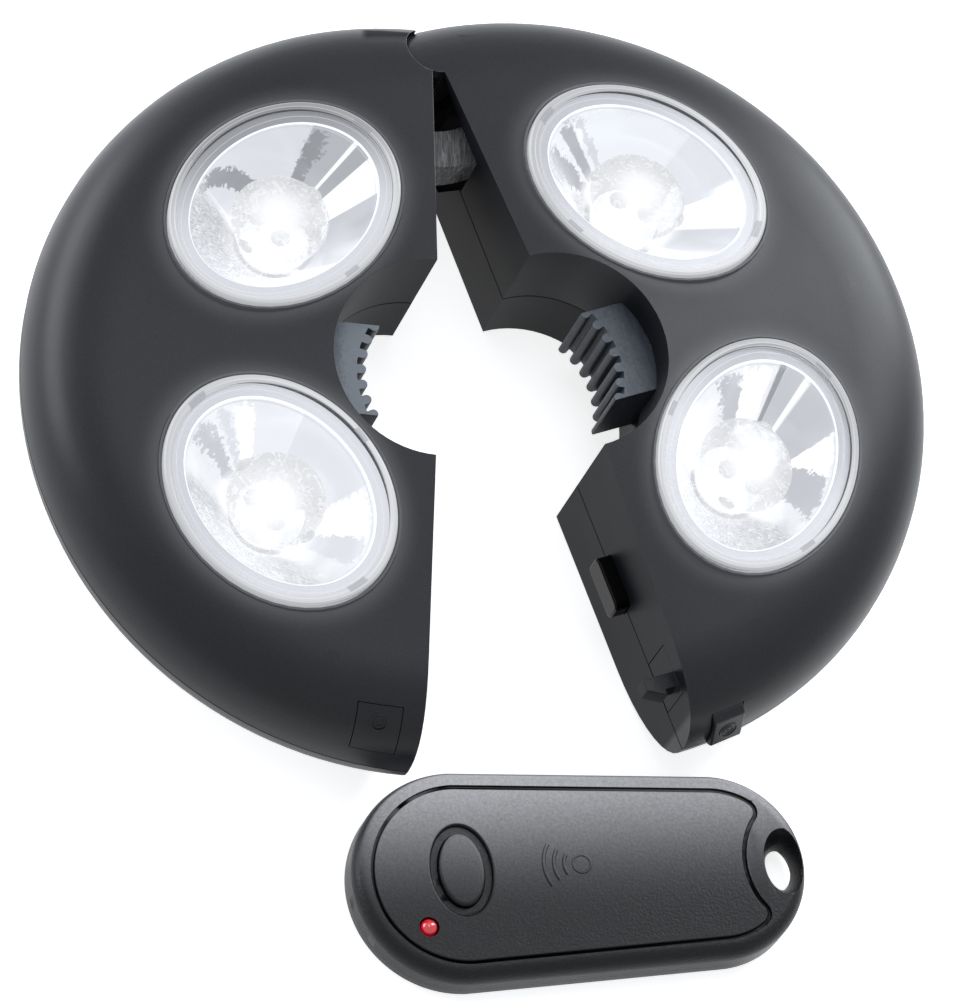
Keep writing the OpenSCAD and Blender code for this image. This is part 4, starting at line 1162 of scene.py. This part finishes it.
# %% Remote finishes
def satin(tap):
    """Dark satin moulding with a fine leathery grain, and a painted sheen, emitted,
    along its upper side.
    """
    place = spot(tap)
    grain = noise(place, 1500, 2, 0.5)
    cloud = noise(place, 60, 2)
    tone = blend(rise(grain, 0.3, 0.8), (0.0035, 0.0040, 0.0056, 1), (0.0078, 0.0085, 0.0108, 1))
    y, z = parts(in_frame(place, remote), "YZ")
    tilt, level = parts(facing(tap), "YZ")
    # Painted sheen: a pale emitted reflection towards the upper side, on faces that look up
    sheen = rise(y, -0.019, 0.033)
    sheen = sheen * sheen * (0.66 + 0.66 * grain)
    sheen = sheen * rise(level + 0.45 * tilt, 0.70, 0.99) * rise(z, 0.0106, 0.0117)
    return plastic(tap, Base_Color=tone, Roughness=0.34 + 0.08 * cloud,
                   Specular_IOR_Level=0.22, Normal=bump(grain, 0.00014, 0.8),
                   Emission_Color=blend(sheen, grey(0.0), (0.46, 0.47, 0.50, 1)),
                   Emission_Strength=1.0)


def red_shader(tap):
    """Clear red resin, faintly lit."""
    place = spot(tap)
    heart = noise(place, 500, 1)
    return plastic(tap, Base_Color=blend(heart, (0.32, 0.008, 0.014, 1), (0.62, 0.02, 0.035, 1)),
                   Roughness=0.07, Coat_Weight=1.0, Emission_Color=(0.22, 0.0, 0.006, 1),
                   Emission_Strength=1.0, Normal=bump(noise(place, 700, 1), 0.0003, 0.3))


remote_finish = finish("satin_remote", satin)
dress(settle(shell, remote), "remote_upper", remote_finish, "remote", "remote_plastic",
      "remote_top_shell")

# %% Signs on the plate: three arcs that open to the left, and a ring
SIGN_AT = (0, 1.5 * MM, 12.2 * MM)
ARC_TURN = radians(34)
marks = []
for radius, wire in ((2.3, 0.32), (4.6, 0.5), (7.2, 0.5), (9.8, 0.5)):
    mark = added(bpy.ops.mesh.primitive_torus_add, major_segments=96, minor_segments=10,
                 major_radius=radius * MM, minor_radius=wire * MM, location=SIGN_AT)
    mark.scale = (1, 1, 0.62)
    settle(mark)
    if radius > 3:
        with editing(mark):
            for slant in (-1, 1):
                bpy.ops.mesh.select_all(action="SELECT")
                bpy.ops.mesh.bisect(plane_co=SIGN_AT, clear_outer=True, use_fill=True,
                                    plane_no=(sin(ARC_TURN), slant * cos(ARC_TURN), 0))
    marks.append(mark)
join(plate, smooth(join(*marks), 50))
dress(settle(plate, remote), "remote_plate", remote_finish, "remote", "remote_plastic",
      "remote_face_plate")

# %% Button: a slightly domed oval with a rolled edge
button = oval_post(KEY_SHORT, KEY_LONG, KEY_X, KEY_Y, 8.2 * MM, 3.6 * MM)
with editing(button):
    pick("faces", faces_up)
    inset((0.12, 0.3), (0.2, 0.25), (0.35, 0.18), (0.5, 0.08))
    for shrink, depth in ((0.72, 0.06), (0.55, 0.04), (0.4, 0.02)):
        inset((0.02, depth))
        widen(shrink, (KEY_X, KEY_Y, 0))
smooth(button, 40)
dress(settle(button, remote), "remote_key", remote_finish, "remote_button", "remote_plastic",
      "remote_button")

# %% Red lamp: half a ball on a short stem
BEAD_FOOT = 11.3 * MM
bead = settle(added(bpy.ops.mesh.primitive_uv_sphere_add, segments=40, ring_count=20,
                    radius=BEAD_R - 0.25 * MM, location=(BEAD_X, BEAD_Y, BEAD_FOOT)))
with editing(bead):
    clear_below(BEAD_FOOT)
    extrude(-4)
    bpy.ops.mesh.edge_face_add()
smooth(bead, 40)
dress(settle(bead, remote), "remote_red_lamp", finish("clear_red", red_shader), "remote",
      "red_lamp", "remote_lamp")

# %% Bottom shell: drawn in a little at its foot, so that it leaves a dark seam under the top
CELL_X = 12 * MM                                 # middle of the coin cell's round cover
bottom = pebble(0, 1.8 * MM, SEAM - 0.05 * MM - 1.8 * MM)
with editing(bottom):
    pick("faces", faces_down)
    inset((0.4, 0.9), (0.6, 0.6), (1.2, 0.3))
    pick("faces", faces_up)
    inset((0.12, 0))
    extrude(-0.35)
cut(bottom, hollow(2.4 * MM, 1.6 * MM, SEAM))
flare = oval_post(RING_SHORT, RING_LONG, RING_X, 0, -MM, 9 * MM)
with editing(flare):
    pick("faces", faces_down)
    widen(1.5, (RING_X, 0, 0))
cut(bottom, flare)
for radius, height in ((10.2 * MM, 20 * MM), (11.35 * MM, 2.4 * MM)):
    cut(bottom, oval_post(radius, radius, CELL_X, 0, -MM, height, 96))
smooth(round_edges(bottom, 0.2 * MM), 30)
print("bottom shell", len(bottom.data.polygons), "faces")
dress(settle(bottom, remote), "remote_lower", remote_finish, "remote", "remote_plastic",
      "remote_bottom_shell")
dress(rounded_copy("remote_battery_cover", 0.2 * MM), "remote_cell_cover", remote_finish,
      "remote_battery_cover", "remote_plastic", "remote_battery_cover")
